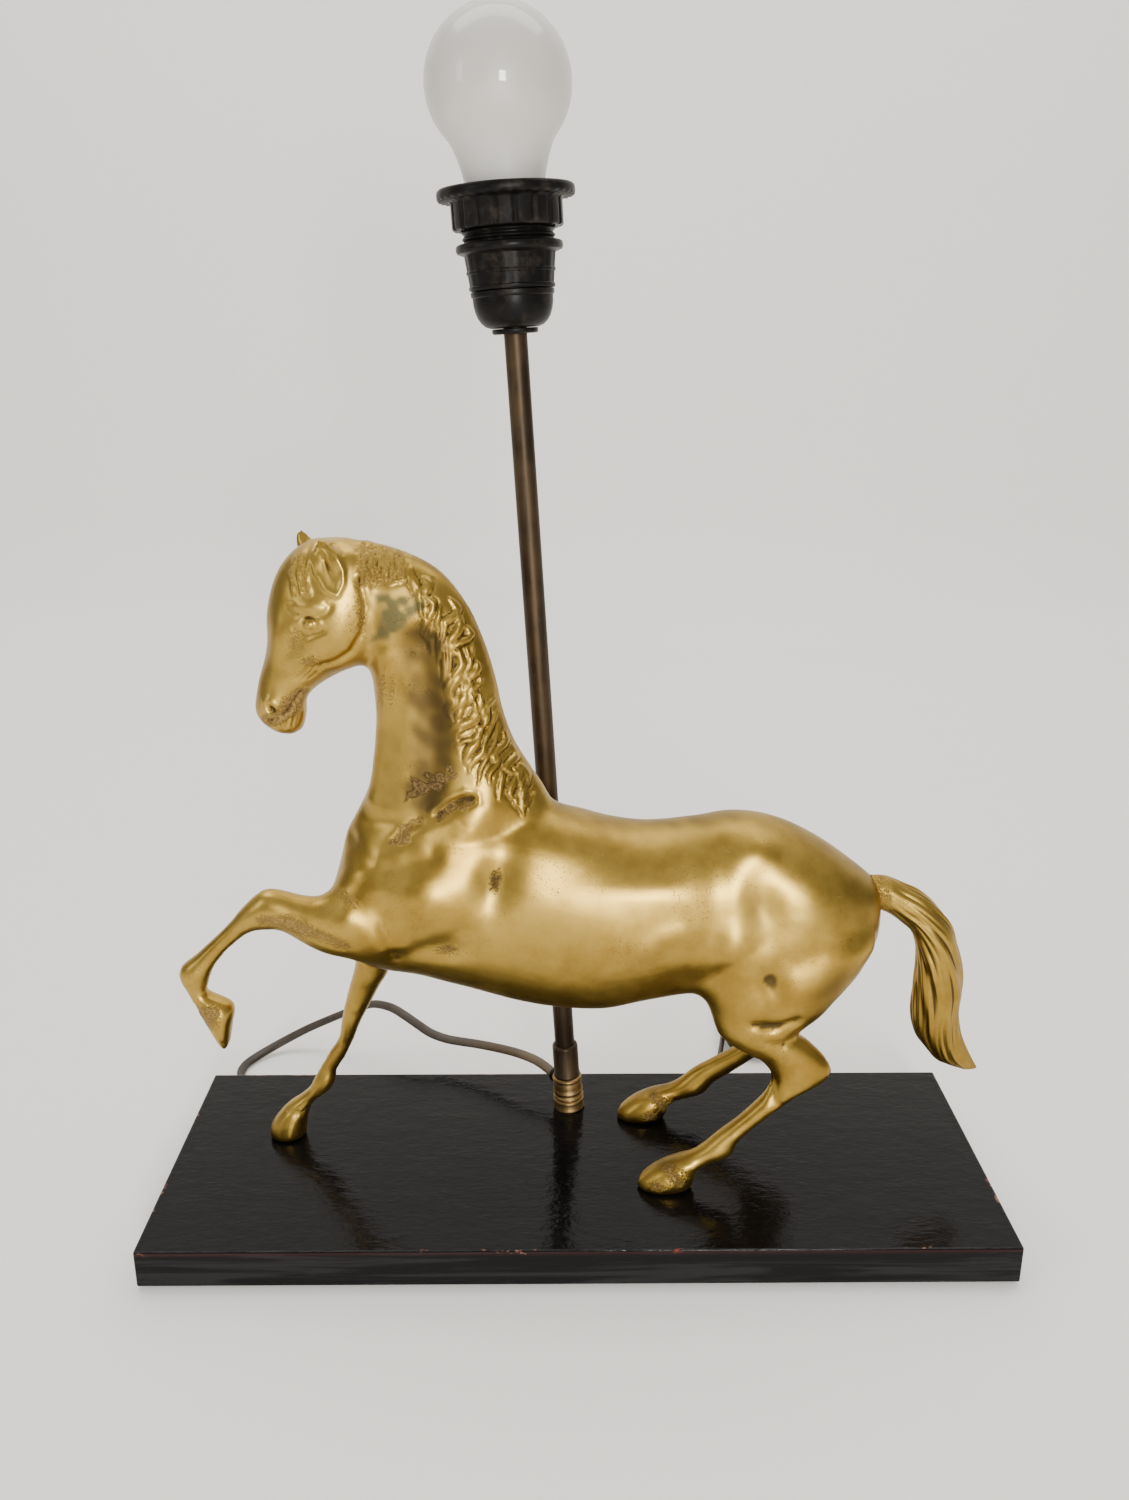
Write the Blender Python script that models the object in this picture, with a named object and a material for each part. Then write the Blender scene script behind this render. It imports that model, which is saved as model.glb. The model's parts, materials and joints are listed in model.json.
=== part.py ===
"""Table lamp: a cast brass horse on a lacquered board, with a leaning brass stem,
a bakelite E27 lampholder with a shade ring, a frosted bulb and a flat flex.

Frame: origin under the middle of the board, +Z up, the horse faces -X, +Y is its right side.
"""
import math

import bmesh
import bpy
from mathutils import Matrix, Vector

MM = 0.001

# Driving dimensions
GAP = 0.3 * MM                       # clearance between pieces that touch
BOARD_LENGTH = 390 * MM
BOARD_DEPTH = 140 * MM
BOARD_TOP = 20 * MM
BOARD_EDGE_ROUND = 0.8 * MM
FELT_THICKNESS = 1.5 * MM
FELT_INSET = 3 * MM

CASTING_WALL = 4 * MM
SCREW_RADIUS = 2.0 * MM
SCREW_HEAD_RADIUS = 3.7 * MM
SCREW_HEAD_HEIGHT = 2.6 * MM
SCREW_BITE = 8.0 * MM                # how far a screw reaches into a hoof
SCREW_COUNTERBORE_RADIUS = 5.4 * MM
SCREW_COUNTERBORE_DEPTH = 5.2 * MM
SCREW_WASHER_RADIUS = 4.8 * MM
SCREW_WASHER_THICKNESS = 0.8 * MM

STEM_FOOT_X = -3.4 * MM
STEM_FOOT_Y = 40 * MM
STEM_LEAN = math.radians(3.5)        # towards -X
STEM_RADIUS = 5.0 * MM
STEM_BORE = STEM_RADIUS - 1.2 * MM
STEM_LENGTH = 381.6 * MM             # from the board's top to the lampholder
STEM_ENTRY = 7.0 * MM                # how far the tube reaches into the lampholder
FOOT_RADIUS = STEM_RADIUS + 2.8 * MM
FOOT_HEIGHT = 18.6 * MM
SLEEVE_RADIUS = STEM_RADIUS + 1.5 * MM
SLEEVE_HEIGHT = 18.2 * MM
NUT_ACROSS_FLATS = 2 * (STEM_RADIUS + 3.5 * MM)
NUT_HEIGHT = 5.0 * MM
STEM_WASHER_RADIUS = STEM_RADIUS + 5.0 * MM
STEM_WASHER_THICKNESS = 1.5 * MM
STEM_COUNTERBORE_RADIUS = STEM_WASHER_RADIUS + 1.6 * MM
STEM_COUNTERBORE_DEPTH = 9.4 * MM

CORD_EXIT_HEIGHT = 15.0 * MM         # along the stem, above the board
CORD_EXIT_ANGLE = math.radians(137)  # seen from above, from +X
BUSHING_RADIUS = 3.6 * MM
CORD_RADIUS = 2.5 * MM
INNER_CABLE_RADIUS = 1.9 * MM
CORE_RADIUS = 0.9 * MM

BULB_CAP_RADIUS = 13.1 * MM
HOLDER_RADIUS = BULB_CAP_RADIUS + 6.4 * MM    # the thread that carries the shade ring
HOLDER_WALL = 2.9 * MM
HOLDER_FLANGE_RADIUS = HOLDER_RADIUS + 3.0 * MM
CAP_RADIUS = HOLDER_RADIUS - 2.5 * MM
CAP_WALL = 2.6 * MM
CAP_HEIGHT = 17.6 * MM
SKIRT_FLANGE_BASE = 33.2 * MM        # above the lampholder's base
SKIRT_FLANGE_THICKNESS = 3.0 * MM
SKIRT_TOP = 53.0 * MM
RING_BASE = 41.5 * MM
RING_RADIUS = HOLDER_RADIUS + 9.25 * MM
RING_FLANGE_THICKNESS = 4.4 * MM
RING_SKIRT_RADIUS = HOLDER_RADIUS + 3.8 * MM
RING_SKIRT_HEIGHT = 11.7 * MM
RING_NOTCHES = 18
RING_NOTCH_DEPTH = 1.1 * MM
RING_CLEARANCE = 0.4 * MM

BULB_CAP_BASE = 20.6 * MM            # above the lampholder's base
BULB_CAP_HEIGHT = 24.0 * MM
BULB_RADIUS = 30.0 * MM
BULB_NECK_RADIUS = BULB_CAP_RADIUS - 0.6 * MM
BULB_TOP = 126.0 * MM
BULB_WALL = 1.0 * MM
THREAD_SHELL_CLEARANCE = 0.4 * MM
THREAD_SHELL_WALL = 0.5 * MM

HANK_CENTRE = (0.1135, BOARD_DEPTH / 2 + 0.099)
HANK_TURN = math.radians(-9)         # its long side, from +Y towards +X
HANK_LENGTH = 117 * MM
HANK_WIDTH = 42 * MM
HANK_HEIGHT = 10.4 * MM
TIE_WIDTH = 9 * MM
TIE_THICKNESS = 0.8 * MM
PLUG_WIDTH = 35.3 * MM
PLUG_THICKNESS = 13.7 * MM
PLUG_LENGTH = 36.0 * MM
PLUG_START = 12.0 * MM               # along the hank from its middle to the plug's back
PIN_RADIUS = 2.0 * MM
PIN_LENGTH = 19.0 * MM
PIN_SPACING = 18.6 * MM
PIN_ROOT = 5.0 * MM

ROUND_STEPS = 24

# Outline stations of the castings, in millimetres: (x, z) on one edge, (x, z) on the
# opposite edge, the section's middle y and its half width. They suit a board 20 mm high,
# and STAND moves them to the real top.
STAND = BOARD_TOP - 20 * MM
TORSO = [
    ((-109, 170), (-111, 152), 0, 11),
    ((-103, 187), (-107, 134), 0, 21),
    ((-90, 200), (-96, 123), 0, 26.5),
    ((-68, 206), (-75, 120), 0, 29.5),
    ((-45, 208), (-52, 114), 0, 30),
    ((-24, 206), (-30, 107), 0, 29.5),
    ((-6, 201), (-8, 103), 0, 30),
    ((12, 195.5), (12, 102.5), 0, 31),
    ((31, 193), (32, 107), 0, 31),
    ((52, 195), (53, 110), 0, 30),
    ((73, 197.5), (74, 111), 0, 30),
    ((91, 194), (92, 111), 0, 30),
    ((109, 185), (110, 113), 0, 28),
    ((125, 173.5), (124, 119), 0, 23),
    ((135, 165), (133, 128), 0, 15),
    ((138, 159), (137, 138), 0, 8),
]
NECK = [
    ((-108, 174), (-8, 192), 0, 24),
    ((-105, 187), (-13, 207), 0, 22),
    ((-98, 200), (-21, 220), 0, 19.5),
    ((-92.5, 212), (-28, 232), 0, 17.5),
    ((-89.5, 226), (-32.5, 245), 0, 16),
    ((-88, 240), (-35.5, 259), 0, 15),
    ((-88, 252), (-40, 275), 0, 14.5),
    ((-89.5, 263), (-47, 292), 0, 14.5),
    ((-93, 271), (-58, 306), 0, 14),
    ((-100, 281), (-72, 314), 0, 12.5),
    ((-106, 290), (-90, 319.5), 0, 10),
]
HEAD = [
    ((-111, 320), (-95, 320), 0, 5),
    ((-118, 316), (-82, 314), 0, 12),
    ((-125, 308.5), (-76, 303), 0, 15.5),
    ((-129.5, 299), (-77, 290), 0, 17),
    ((-132, 288), (-82, 277), 0, 17.2),
    ((-132.5, 278), (-91, 267.5), 0, 16.2),
    ((-134, 270), (-101, 263.5), 0, 14),
    ((-137, 261), (-111, 258), 0, 12),
    ((-139, 253), (-117, 252), 0, 10.8),
    ((-140, 247), (-118, 244.5), 0, 10.5),
    ((-138, 242), (-120, 238), 0, 9.5),
    ((-133, 238), (-124, 235.5), 0, 6),
]
EAR_LEFT = [
    ((-112, 300), (-101, 302), -12.5, 3.2),
    ((-112.5, 309), (-101, 311), -13, 4.2),
    ((-110, 316), (-102.5, 317), -11.5, 3.2),
    ((-107, 321), (-104.5, 321), -10, 1.2),
]
EAR_RIGHT = [
    ((-117, 303), (-105, 304), 9.5, 3.2),
    ((-118.5, 311), (-107, 312), 10.5, 4.0),
    ((-118, 318), (-111, 317), 10.5, 2.8),
    ((-117.3, 322.3), (-115, 321.7), 10.5, 1.0),
]
FORELEG_LEFT = [
    ((-92, 177), (-82, 130), -16, 13.5),
    ((-106, 171), (-98, 134), -18.5, 13),
    ((-114, 166.5), (-108, 138), -20, 11.3),
    ((-122, 167), (-117, 142.5), -20.5, 9.6),
    ((-129, 169), (-124.5, 147), -20.5, 8.2),
    ((-136.5, 170), (-131, 150.8), -20.5, 7.6),
    ((-142.5, 166.5), (-138.5, 151.2), -20.5, 6.6),
    ((-149, 160), (-144.5, 150), -20.3, 5.2),
    ((-155.5, 152.5), (-150.5, 146), -20, 4.4),
    ((-163, 145), (-157.5, 139.5), -19.8, 4.3),
    ((-170.5, 138), (-162.5, 133), -19.6, 4.9),
    ((-177, 132.5), (-164.5, 129), -19.4, 5.6),
    ((-178.5, 127), (-166, 124.5), -19.2, 5.4),
    ((-176, 121), (-167, 119), -19, 4.7),
    ((-173.5, 114.5), (-161.5, 116.5), -19, 5.8),
    ((-170, 106), (-155.5, 112), -18.8, 7.2),
    ((-165.5, 96.5), (-157, 103.5), -18.6, 7.0),
    ((-161.5, 89.5), (-159, 94), -18.5, 4.6),
]
FORELEG_RIGHT = [
    ((-98, 152), (-68, 152), 16.5, 13.5),
    ((-104, 131), (-81, 131), 16.5, 12.5),
    ((-106, 115), (-89, 113), 16.2, 9.5),
    ((-109.5, 103), (-95, 103), 16, 7.2),
    ((-112.5, 92), (-100.5, 92.5), 16, 6.2),
    ((-114.5, 83), (-105, 83.5), 16, 5.8),
    ((-116, 75), (-108.5, 75), 16, 4.5),
    ((-121, 67), (-113, 65.5), 16, 4.0),
    ((-126, 58.5), (-118, 57), 16, 4.1),
    ((-130, 51.5), (-118.5, 52), 16, 5.2),
    ((-132.5, 46.5), (-122, 46), 16, 5.4),
    ((-137.5, 42), (-128, 41.5), 16, 4.7),
    ((-143, 38), (-131.5, 37), 16, 5.8),
    ((-149, 31.5), (-133.5, 31.5), 16.2, 7.6),
    ((-153, 25), (-134.5, 25.5), 16.4, 8.8),
    ((-153.3, 20.3), (-135.5, 20.3), 16.5, 9.0),
]
HIND_LEG_LEFT = [
    ((64, 162), (124, 158), -15.5, 14),
    ((56, 141), (133, 147), -16.5, 15),
    ((54.5, 126), (130, 130), -17.5, 15),
    ((57.5, 112), (118, 114), -19, 13.5),
    ((62, 101), (105, 104), -20.5, 11),
    ((68.5, 94), (100, 99), -21.5, 9.3),
    ((77, 89), (104.5, 95.5), -22.5, 7.6),
    ((84, 85), (111, 89.5), -23.3, 6.6),
    ((88.3, 78.5), (115.8, 82), -24, 6.1),
    ((86.5, 71), (113, 76), -24.4, 5.7),
    ((80, 62.5), (101, 68.5), -24.7, 5.0),
    ((72, 54.5), (85.5, 55.5), -25, 4.5),
    ((64, 48), (75, 45), -25.3, 4.9),
    ((57.5, 42), (71.5, 37.5), -25.6, 5.7),
    ((52, 38.5), (61.5, 33), -25.8, 5.1),
    ((44.5, 36), (55.5, 29.5), -26, 6.8),
    ((37, 31.5), (54.5, 25.5), -26, 8.3),
    ((33, 25.5), (53.5, 22.5), -26, 8.7),
    ((33.5, 20.3), (52.5, 20.3), -26, 8.5),
]
HIND_LEG_RIGHT = [
    ((64, 162), (124, 158), 15.5, 14),
    ((56, 141), (133, 147), 16.5, 15),
    ((56, 126), (130, 130), 17.5, 15),
    ((60, 112), (118, 114), 19.5, 13.5),
    ((64, 101), (106, 103), 21.5, 11),
    ((70, 93), (101, 97), 23, 9.3),
    ((79, 86.5), (106, 91.5), 24.5, 7.6),
    ((85.5, 80), (111.5, 84), 25.7, 6.6),
    ((87, 72), (113, 76), 26.6, 6.1),
    ((84, 65.5), (108, 68.5), 27.2, 5.6),
    ((76.5, 59.5), (95, 60.5), 27.8, 4.9),
    ((67, 54), (80.5, 49), 28.3, 4.6),
    ((58.5, 48.5), (70.5, 42), 28.7, 4.9),
    ((51, 41.5), (64.5, 35), 29, 5.7),
    ((45.5, 38.8), (54.5, 31.5), 29.2, 5.1),
    ((38.5, 37), (48, 28.5), 29.3, 6.8),
    ((30.5, 33), (46.5, 24.5), 29.4, 8.2),
    ((25.5, 26), (45.5, 22.3), 29.5, 8.7),
    ((26, 20.3), (44.5, 20.3), 29.5, 8.5),
]
TAIL = [
    ((139.4, 163.5), (140.2, 149.5), 0, 5.6),
    ((142, 165), (143, 148), 0, 6.8),
    ((148.5, 163), (147.5, 145), 0, 7.4),
    ((156.5, 159), (153, 140.5), 0, 8.2),
    ((165, 151.5), (156.5, 133), 0, 9),
    ((172.5, 141), (158, 122.5), 0, 9.6),
    ((177.5, 126), (157.5, 111), 0, 9.8),
    ((180, 112), (157.5, 99), 0, 9.4),
    ((179.5, 99), (160, 87), 0, 8.4),
    ((181, 89), (165.5, 78.5), 0, 7),
    ((185, 79), (173, 71), 0, 5),
    ((191.5, 67), (184, 66.3), 0, 1.6),
]
SECTION_STEPS = 20

# Where the leg castings are brazed on: a leg is what lies inside its box (mm, low and high).
FORELEG_LEFT_BOX = ((-200, -45, 70), (-116.5, -3, 190))
FORELEG_RIGHT_BOX = ((-175, 1, 10), (-60, 45, 111))
HIND_LEG_LEFT_BOX = ((5, -60, 10), (135, -1, 97.5))
HIND_LEG_RIGHT_BOX = ((5, 1, 10), (135, 60, 97.5))

DOCK_POINT = (139.2 * MM, 0, 156.5 * MM + STAND)
DOCK_DIRECTION = (-1.0, 0, 0.05)
DOCK_SPIGOT_RADIUS = 4.0 * MM
DOCK_SPIGOT_LENGTH = 12 * MM

# Screw places under the three standing hooves
HOOF_SCREWS = {
    "foreleg_right": (-143.5 * MM, 16.3 * MM),
    "hind_leg_left": (43.6 * MM, -26 * MM),
    "hind_leg_right": (35.6 * MM, 29.4 * MM),
}

# The flex from the stem's foot, over the board's back edge and along behind the board, to
# the hank: route points in metres, chosen by hand for a board 140 mm deep and 20 mm high
# and a stem 10 mm thick.
LEAD_ROUTE = [
    (-0.0110, 0.0475, 0.0352),
    (-0.0155, 0.0517, 0.0354),
    (-0.0208, 0.0562, 0.0366),
    (-0.0279, 0.0606, 0.0373),
    (-0.0357, 0.0655, 0.0369),
    (-0.0441, 0.0710, 0.0357),
    (-0.0532, 0.0760, 0.0346),
    (-0.0627, 0.0800, 0.0338),
    (-0.0709, 0.0830, 0.0338),
    (-0.0795, 0.0868, 0.0352),
    (-0.0876, 0.0918, 0.0381),
    (-0.0950, 0.0975, 0.0402),
    (-0.1025, 0.1040, 0.0410),
    (-0.1103, 0.1100, 0.0398),
    (-0.1160, 0.1140, 0.0376),
    (-0.1248, 0.1195, 0.0321),
    (-0.1350, 0.1240, 0.0256),
    (-0.1460, 0.1270, 0.0192),
    (-0.1568, 0.1280, 0.0135),
    (-0.1670, 0.1265, 0.0085),
    (-0.1762, 0.1225, 0.0048),
    (-0.1838, 0.1155, 0.0030),
    (-0.1886, 0.1070, 0.0026),
    (-0.1890, 0.0975, 0.0026),
    (-0.1845, 0.0890, 0.0026),
    (-0.1765, 0.0835, 0.0026),
    (-0.1650, 0.0805, 0.0026),
    (-0.1400, 0.0790, 0.0026),
    (-0.1050, 0.0795, 0.0026),
    (-0.0650, 0.0805, 0.0026),
    (-0.0250, 0.0800, 0.0026),
    (0.0100, 0.0795, 0.0026),
    (0.0400, 0.0800, 0.0026),
    (0.0600, 0.0830, 0.0028),
    (0.0735, 0.0890, 0.0031),
    (0.0812, 0.0990, 0.0034),
    (0.0846, 0.1090, 0.0037),
    (0.0862, 0.1188, 0.0038),
]


def clear_scene():
    for obj in list(bpy.data.objects):
        bpy.data.objects.remove(obj, do_unlink=True)


def material(name, colour, roughness, metallic=0.0):
    made = bpy.data.materials.new(name)
    made.use_nodes = True
    shader = made.node_tree.nodes["Principled BSDF"]
    shader.inputs["Base Color"].default_value = (*colour, 1.0)
    shader.inputs["Roughness"].default_value = roughness
    shader.inputs["Metallic"].default_value = metallic
    return made


def make_materials():
    return {
        "cast_brass": material("cast_brass", (0.66, 0.45, 0.16), 0.28, 1.0),
        "stem_brass": material("stem_brass", (0.20, 0.13, 0.06), 0.38, 1.0),
        "steel": material("steel", (0.56, 0.56, 0.55), 0.35, 1.0),
        "black_lacquer": material("black_lacquer", (0.018, 0.017, 0.016), 0.15),
        "green_felt": material("green_felt", (0.03, 0.09, 0.05), 0.95),
        "bakelite": material("bakelite", (0.02, 0.019, 0.018), 0.35),
        "porcelain": material("porcelain", (0.80, 0.78, 0.72), 0.35),
        "contact_brass": material("contact_brass", (0.75, 0.55, 0.25), 0.3, 1.0),
        "bulb_cap_metal": material("bulb_cap_metal", (0.62, 0.62, 0.60), 0.3, 1.0),
        "frosted_glass": material("frosted_glass", (0.86, 0.85, 0.80), 0.45),
        "clear_glass": material("clear_glass", (0.75, 0.78, 0.77), 0.1),
        "tungsten": material("tungsten", (0.25, 0.25, 0.26), 0.4, 1.0),
        "flex": material("flex", (0.07, 0.06, 0.045), 0.5),
        "core_insulation": material("core_insulation", (0.12, 0.17, 0.34), 0.45),
        "plug_plastic": material("plug_plastic", (0.035, 0.032, 0.028), 0.45),
        "paper_tie": material("paper_tie", (0.02, 0.02, 0.02), 0.6),
    }


def add_object(name, mesh, slot=None, parent=None):
    obj = bpy.data.objects.new(name, mesh)
    bpy.context.collection.objects.link(obj)
    obj.parent = parent
    if slot is not None:
        mesh.materials.append(MATERIALS[slot])
    return obj


def as_guide(obj):
    obj.hide_render = True
    obj.display_type = "WIRE"
    return obj


def finish_mesh(name, bm, smooth_angle=35):
    bmesh.ops.remove_doubles(bm, verts=bm.verts, dist=1e-6)
    bmesh.ops.recalc_face_normals(bm, faces=bm.faces)
    mesh = bpy.data.meshes.new(name)
    bm.to_mesh(mesh)
    bm.free()
    mesh.shade_smooth()
    mesh.set_sharp_from_angle(angle=math.radians(smooth_angle))
    return mesh


def turned_mesh(name, profile, steps=ROUND_STEPS, closed=True):
    """A profile of (radius, height) points spun about Z; closed joins its ends."""
    bm = bmesh.new()
    points = [bm.verts.new((radius, 0, height)) for radius, height in profile]
    edges = [bm.edges.new(pair) for pair in zip(points, points[1:])]
    if closed:
        edges.append(bm.edges.new((points[-1], points[0])))
    bmesh.ops.spin(bm, geom=points + edges, cent=(0, 0, 0), axis=(0, 0, 1),
                   angle=2 * math.pi, steps=steps, use_merge=True)
    return finish_mesh(name, bm)


def turned(name, profile, slot, parent=None, steps=ROUND_STEPS, closed=True):
    return add_object(name, turned_mesh(name, profile, steps, closed), slot, parent)


def ring_profile(inner, outer, low, high):
    return [(inner, low), (outer, low), (outer, high), (inner, high)]


def loft_mesh(name, stations, inset=0.0, steps=SECTION_STEPS):
    """Skin over ellipse sections; each runs from one outline point to the opposite one."""
    bm = bmesh.new()
    rings = []
    for (x_a, z_a), (x_b, z_b), y, half_width in stations:
        edge_a = Vector((x_a * MM, 0, z_a * MM + STAND))
        edge_b = Vector((x_b * MM, 0, z_b * MM + STAND))
        middle = (edge_a + edge_b) / 2 + Vector((0, y * MM, 0))
        radius = (edge_a - edge_b) / 2
        radius -= radius.normalized() * inset
        width = half_width * MM - inset
        ring = []
        for step in range(steps):
            angle = 2 * math.pi * (step + 0.5) / steps
            side = Vector((0, width * math.sin(angle), 0))
            ring.append(bm.verts.new(middle + radius * math.cos(angle) + side))
        rings.append(ring)
    for low, high in zip(rings, rings[1:]):
        for step in range(steps):
            after = (step + 1) % steps
            bm.faces.new((low[step], low[after], high[after], high[step]))
    bm.faces.new(rings[0])
    bm.faces.new(rings[-1])
    return finish_mesh(name, bm, 50)


def box_mesh(name, low, high):
    bm = bmesh.new()
    size = Vector(high) - Vector(low)
    place = Matrix.Translation((Vector(low) + Vector(high)) / 2) @ Matrix.Diagonal((*size, 1))
    bmesh.ops.create_cube(bm, size=1, matrix=place)
    return finish_mesh(name, bm)


def rod_mesh(name, radius, start, end, steps=16):
    """A plain cylinder between two points."""
    start = Vector(start)
    end = Vector(end)
    span = end - start
    turn = span.to_track_quat("Z", "Y").to_matrix().to_4x4()
    bm = bmesh.new()
    bmesh.ops.create_cone(bm, cap_ends=True, segments=steps, radius1=radius, radius2=radius,
                          depth=span.length, matrix=Matrix.Translation((start + end) / 2) @ turn)
    return finish_mesh(name, bm)


def combine(obj, other, operation):
    boolean = obj.modifiers.new(f"{operation.lower()}_{other.name}", "BOOLEAN")
    boolean.operation = operation
    boolean.object = other
    return obj


def cut_box(obj, name, low, high):
    return combine(obj, as_guide(add_object(name, box_mesh(name, low, high))), "DIFFERENCE")


def cut_rod(obj, name, radius, start, end, parent=None, steps=16):
    mesh = rod_mesh(name, radius, start, end, steps)
    return combine(obj, as_guide(add_object(name, mesh, parent=parent)), "DIFFERENCE")


def smooth_route(points, spacing):
    """Points about spacing apart on a smooth curve through the route's points."""
    points = [Vector(point) for point in points]
    padded = [points[0] * 2 - points[1]] + points + [points[-1] * 2 - points[-2]]
    dense = []
    for before, start, end, after in zip(padded, padded[1:], padded[2:], padded[3:]):
        for part in range(16):
            t = part / 16
            dense.append(0.5 * (2 * start + (end - before) * t
                                + (2 * before - 5 * start + 4 * end - after) * t * t
                                + (3 * start - before - 3 * end + after) * t ** 3))
    dense.append(points[-1])
    reached = [0.0]
    for start, end in zip(dense, dense[1:]):
        reached.append(reached[-1] + (end - start).length)
    count = max(2, round(reached[-1] / spacing))
    route = []
    index = 0
    for step in range(count + 1):
        goal = reached[-1] * step / count
        while index < len(dense) - 2 and reached[index + 1] < goal:
            index += 1
        share = (goal - reached[index]) / (reached[index + 1] - reached[index])
        route.append(dense[index].lerp(dense[index + 1], min(share, 1.0)))
    return route


def tube(name, points, radius, slot, parent=None, resolution=2):
    curve = bpy.data.curves.new(name, "CURVE")
    curve.dimensions = "3D"
    curve.bevel_depth = radius
    curve.bevel_resolution = resolution
    curve.use_fill_caps = True
    curve.render_resolution_u = 0
    spline = curve.splines.new("POLY")
    spline.points.add(len(points) - 1)
    for target, point in zip(spline.points, points):
        target.co = (*point, 1)
    return add_object(name, curve, slot, parent)


def build_base():
    half_x = BOARD_LENGTH / 2
    half_y = BOARD_DEPTH / 2
    low = (-half_x, -half_y, FELT_THICKNESS + GAP)
    board = add_object("base_board", box_mesh("base_board", low, (half_x, half_y, BOARD_TOP)),
                       "black_lacquer")
    rounding = board.modifiers.new("edge_round", "BEVEL")
    rounding.width = BOARD_EDGE_ROUND
    rounding.segments = 2
    for name, (x, y) in HOOF_SCREWS.items():
        cut_rod(board, f"{name}_board_hole", SCREW_RADIUS + GAP, (x, y, -MM),
                (x, y, BOARD_TOP + MM))
        cut_rod(board, f"{name}_board_counterbore", SCREW_COUNTERBORE_RADIUS, (x, y, -MM),
                (x, y, low[2] + SCREW_COUNTERBORE_DEPTH), steps=24)
    cut_rod(board, "stem_hole", STEM_RADIUS + GAP, (0, 0, -BOARD_TOP * 1.2), (0, 0, BOARD_TOP),
            STEM_AXIS, 24)
    cut_rod(board, "stem_counterbore", STEM_COUNTERBORE_RADIUS, (0, 0, -BOARD_TOP * 1.2),
            (0, 0, low[2] - BOARD_TOP + STEM_COUNTERBORE_DEPTH), STEM_AXIS, 24)
    felt_x = half_x - FELT_INSET
    felt_y = half_y - FELT_INSET
    add_object("base_felt", box_mesh("base_felt", (-felt_x, -felt_y, 0),
                                     (felt_x, felt_y, FELT_THICKNESS)), "green_felt")


def scaled(corner, margin=0.0):
    """A corner of a leg's box, in metres, moved out by margin."""
    x, y, z = (value * MM + margin for value in corner)
    return (x, y, z + STAND)


def leg_casting(name, stations, box):
    leg = add_object(name, loft_mesh(name, stations, steps=16), "cast_brass")
    region = as_guide(add_object(f"{name}_region", box_mesh(name, scaled(box[0]), scaled(box[1]))))
    combine(leg, region, "INTERSECT")
    if name in HOOF_SCREWS:
        x, y = HOOF_SCREWS[name]
        cut_rod(leg, f"{name}_tapping", SCREW_RADIUS + GAP, (x, y, BOARD_TOP - MM),
                (x, y, BOARD_TOP + GAP + SCREW_BITE + GAP), steps=12)
    return leg


def build_horse():
    legs = {
        "foreleg_left": (FORELEG_LEFT, FORELEG_LEFT_BOX),
        "foreleg_right": (FORELEG_RIGHT, FORELEG_RIGHT_BOX),
        "hind_leg_left": (HIND_LEG_LEFT, HIND_LEG_LEFT_BOX),
        "hind_leg_right": (HIND_LEG_RIGHT, HIND_LEG_RIGHT_BOX),
    }
    form = as_guide(add_object("horse_form", loft_mesh("horse_form", TORSO)))
    shapes = {"neck_form": NECK, "head_form": HEAD, "ear_left_form": EAR_LEFT,
              "ear_right_form": EAR_RIGHT}
    shapes.update({f"{name}_form": stations for name, (stations, _) in legs.items()})
    for name, stations in shapes.items():
        steps = 16 if "leg" in name else SECTION_STEPS
        shape = add_object(name, loft_mesh(name, stations, steps=steps))
        combine(form, as_guide(shape), "UNION")
    for name, stations in (("torso_core", TORSO[1:-2]), ("neck_core", NECK[1:8])):
        core = add_object(name, loft_mesh(name, stations, CASTING_WALL))
        combine(form, as_guide(core), "DIFFERENCE")
    reach = BOARD_LENGTH
    for name, side in (("horse_left_half", -1), ("horse_right_half", 1)):
        edges = sorted((side * GAP / 2, side * reach))
        block = box_mesh(name, (-reach, edges[0], 0), (reach, edges[1], reach))
        half = add_object(name, block, "cast_brass")
        combine(half, form, "INTERSECT")
        for leg, (_, box) in legs.items():
            low = scaled(box[0], -GAP)
            high = scaled(box[1], GAP)
            if (low[1] + high[1]) * side > 0:
                cut_box(half, f"{leg}_seat", low, high)
        socket_end = Vector(DOCK_POINT) + Vector(DOCK_DIRECTION) * (DOCK_SPIGOT_LENGTH + 4 * GAP)
        socket_mouth = Vector(DOCK_POINT) - Vector(DOCK_DIRECTION) * 10 * MM
        cut_rod(half, f"dock_socket_{name}", DOCK_SPIGOT_RADIUS + GAP, socket_end, socket_mouth)
        cut_box(half, f"dock_face_{name}",
                (DOCK_POINT[0] - GAP, -20 * MM, DOCK_POINT[2] - 16.5 * MM),
                (DOCK_POINT[0] + 20 * MM, 20 * MM, DOCK_POINT[2] + 18.5 * MM))
    for name, (stations, box) in legs.items():
        leg_casting(name, stations, box)
    tail = add_object("tail", loft_mesh("tail", TAIL, steps=16), "cast_brass")
    root = Vector(DOCK_POINT) - Vector(DOCK_DIRECTION) * 8 * MM
    end = Vector(DOCK_POINT) + Vector(DOCK_DIRECTION) * DOCK_SPIGOT_LENGTH
    spigot = add_object("tail_spigot", rod_mesh("tail_spigot", DOCK_SPIGOT_RADIUS, end, root))
    combine(tail, as_guide(spigot), "UNION")


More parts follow.
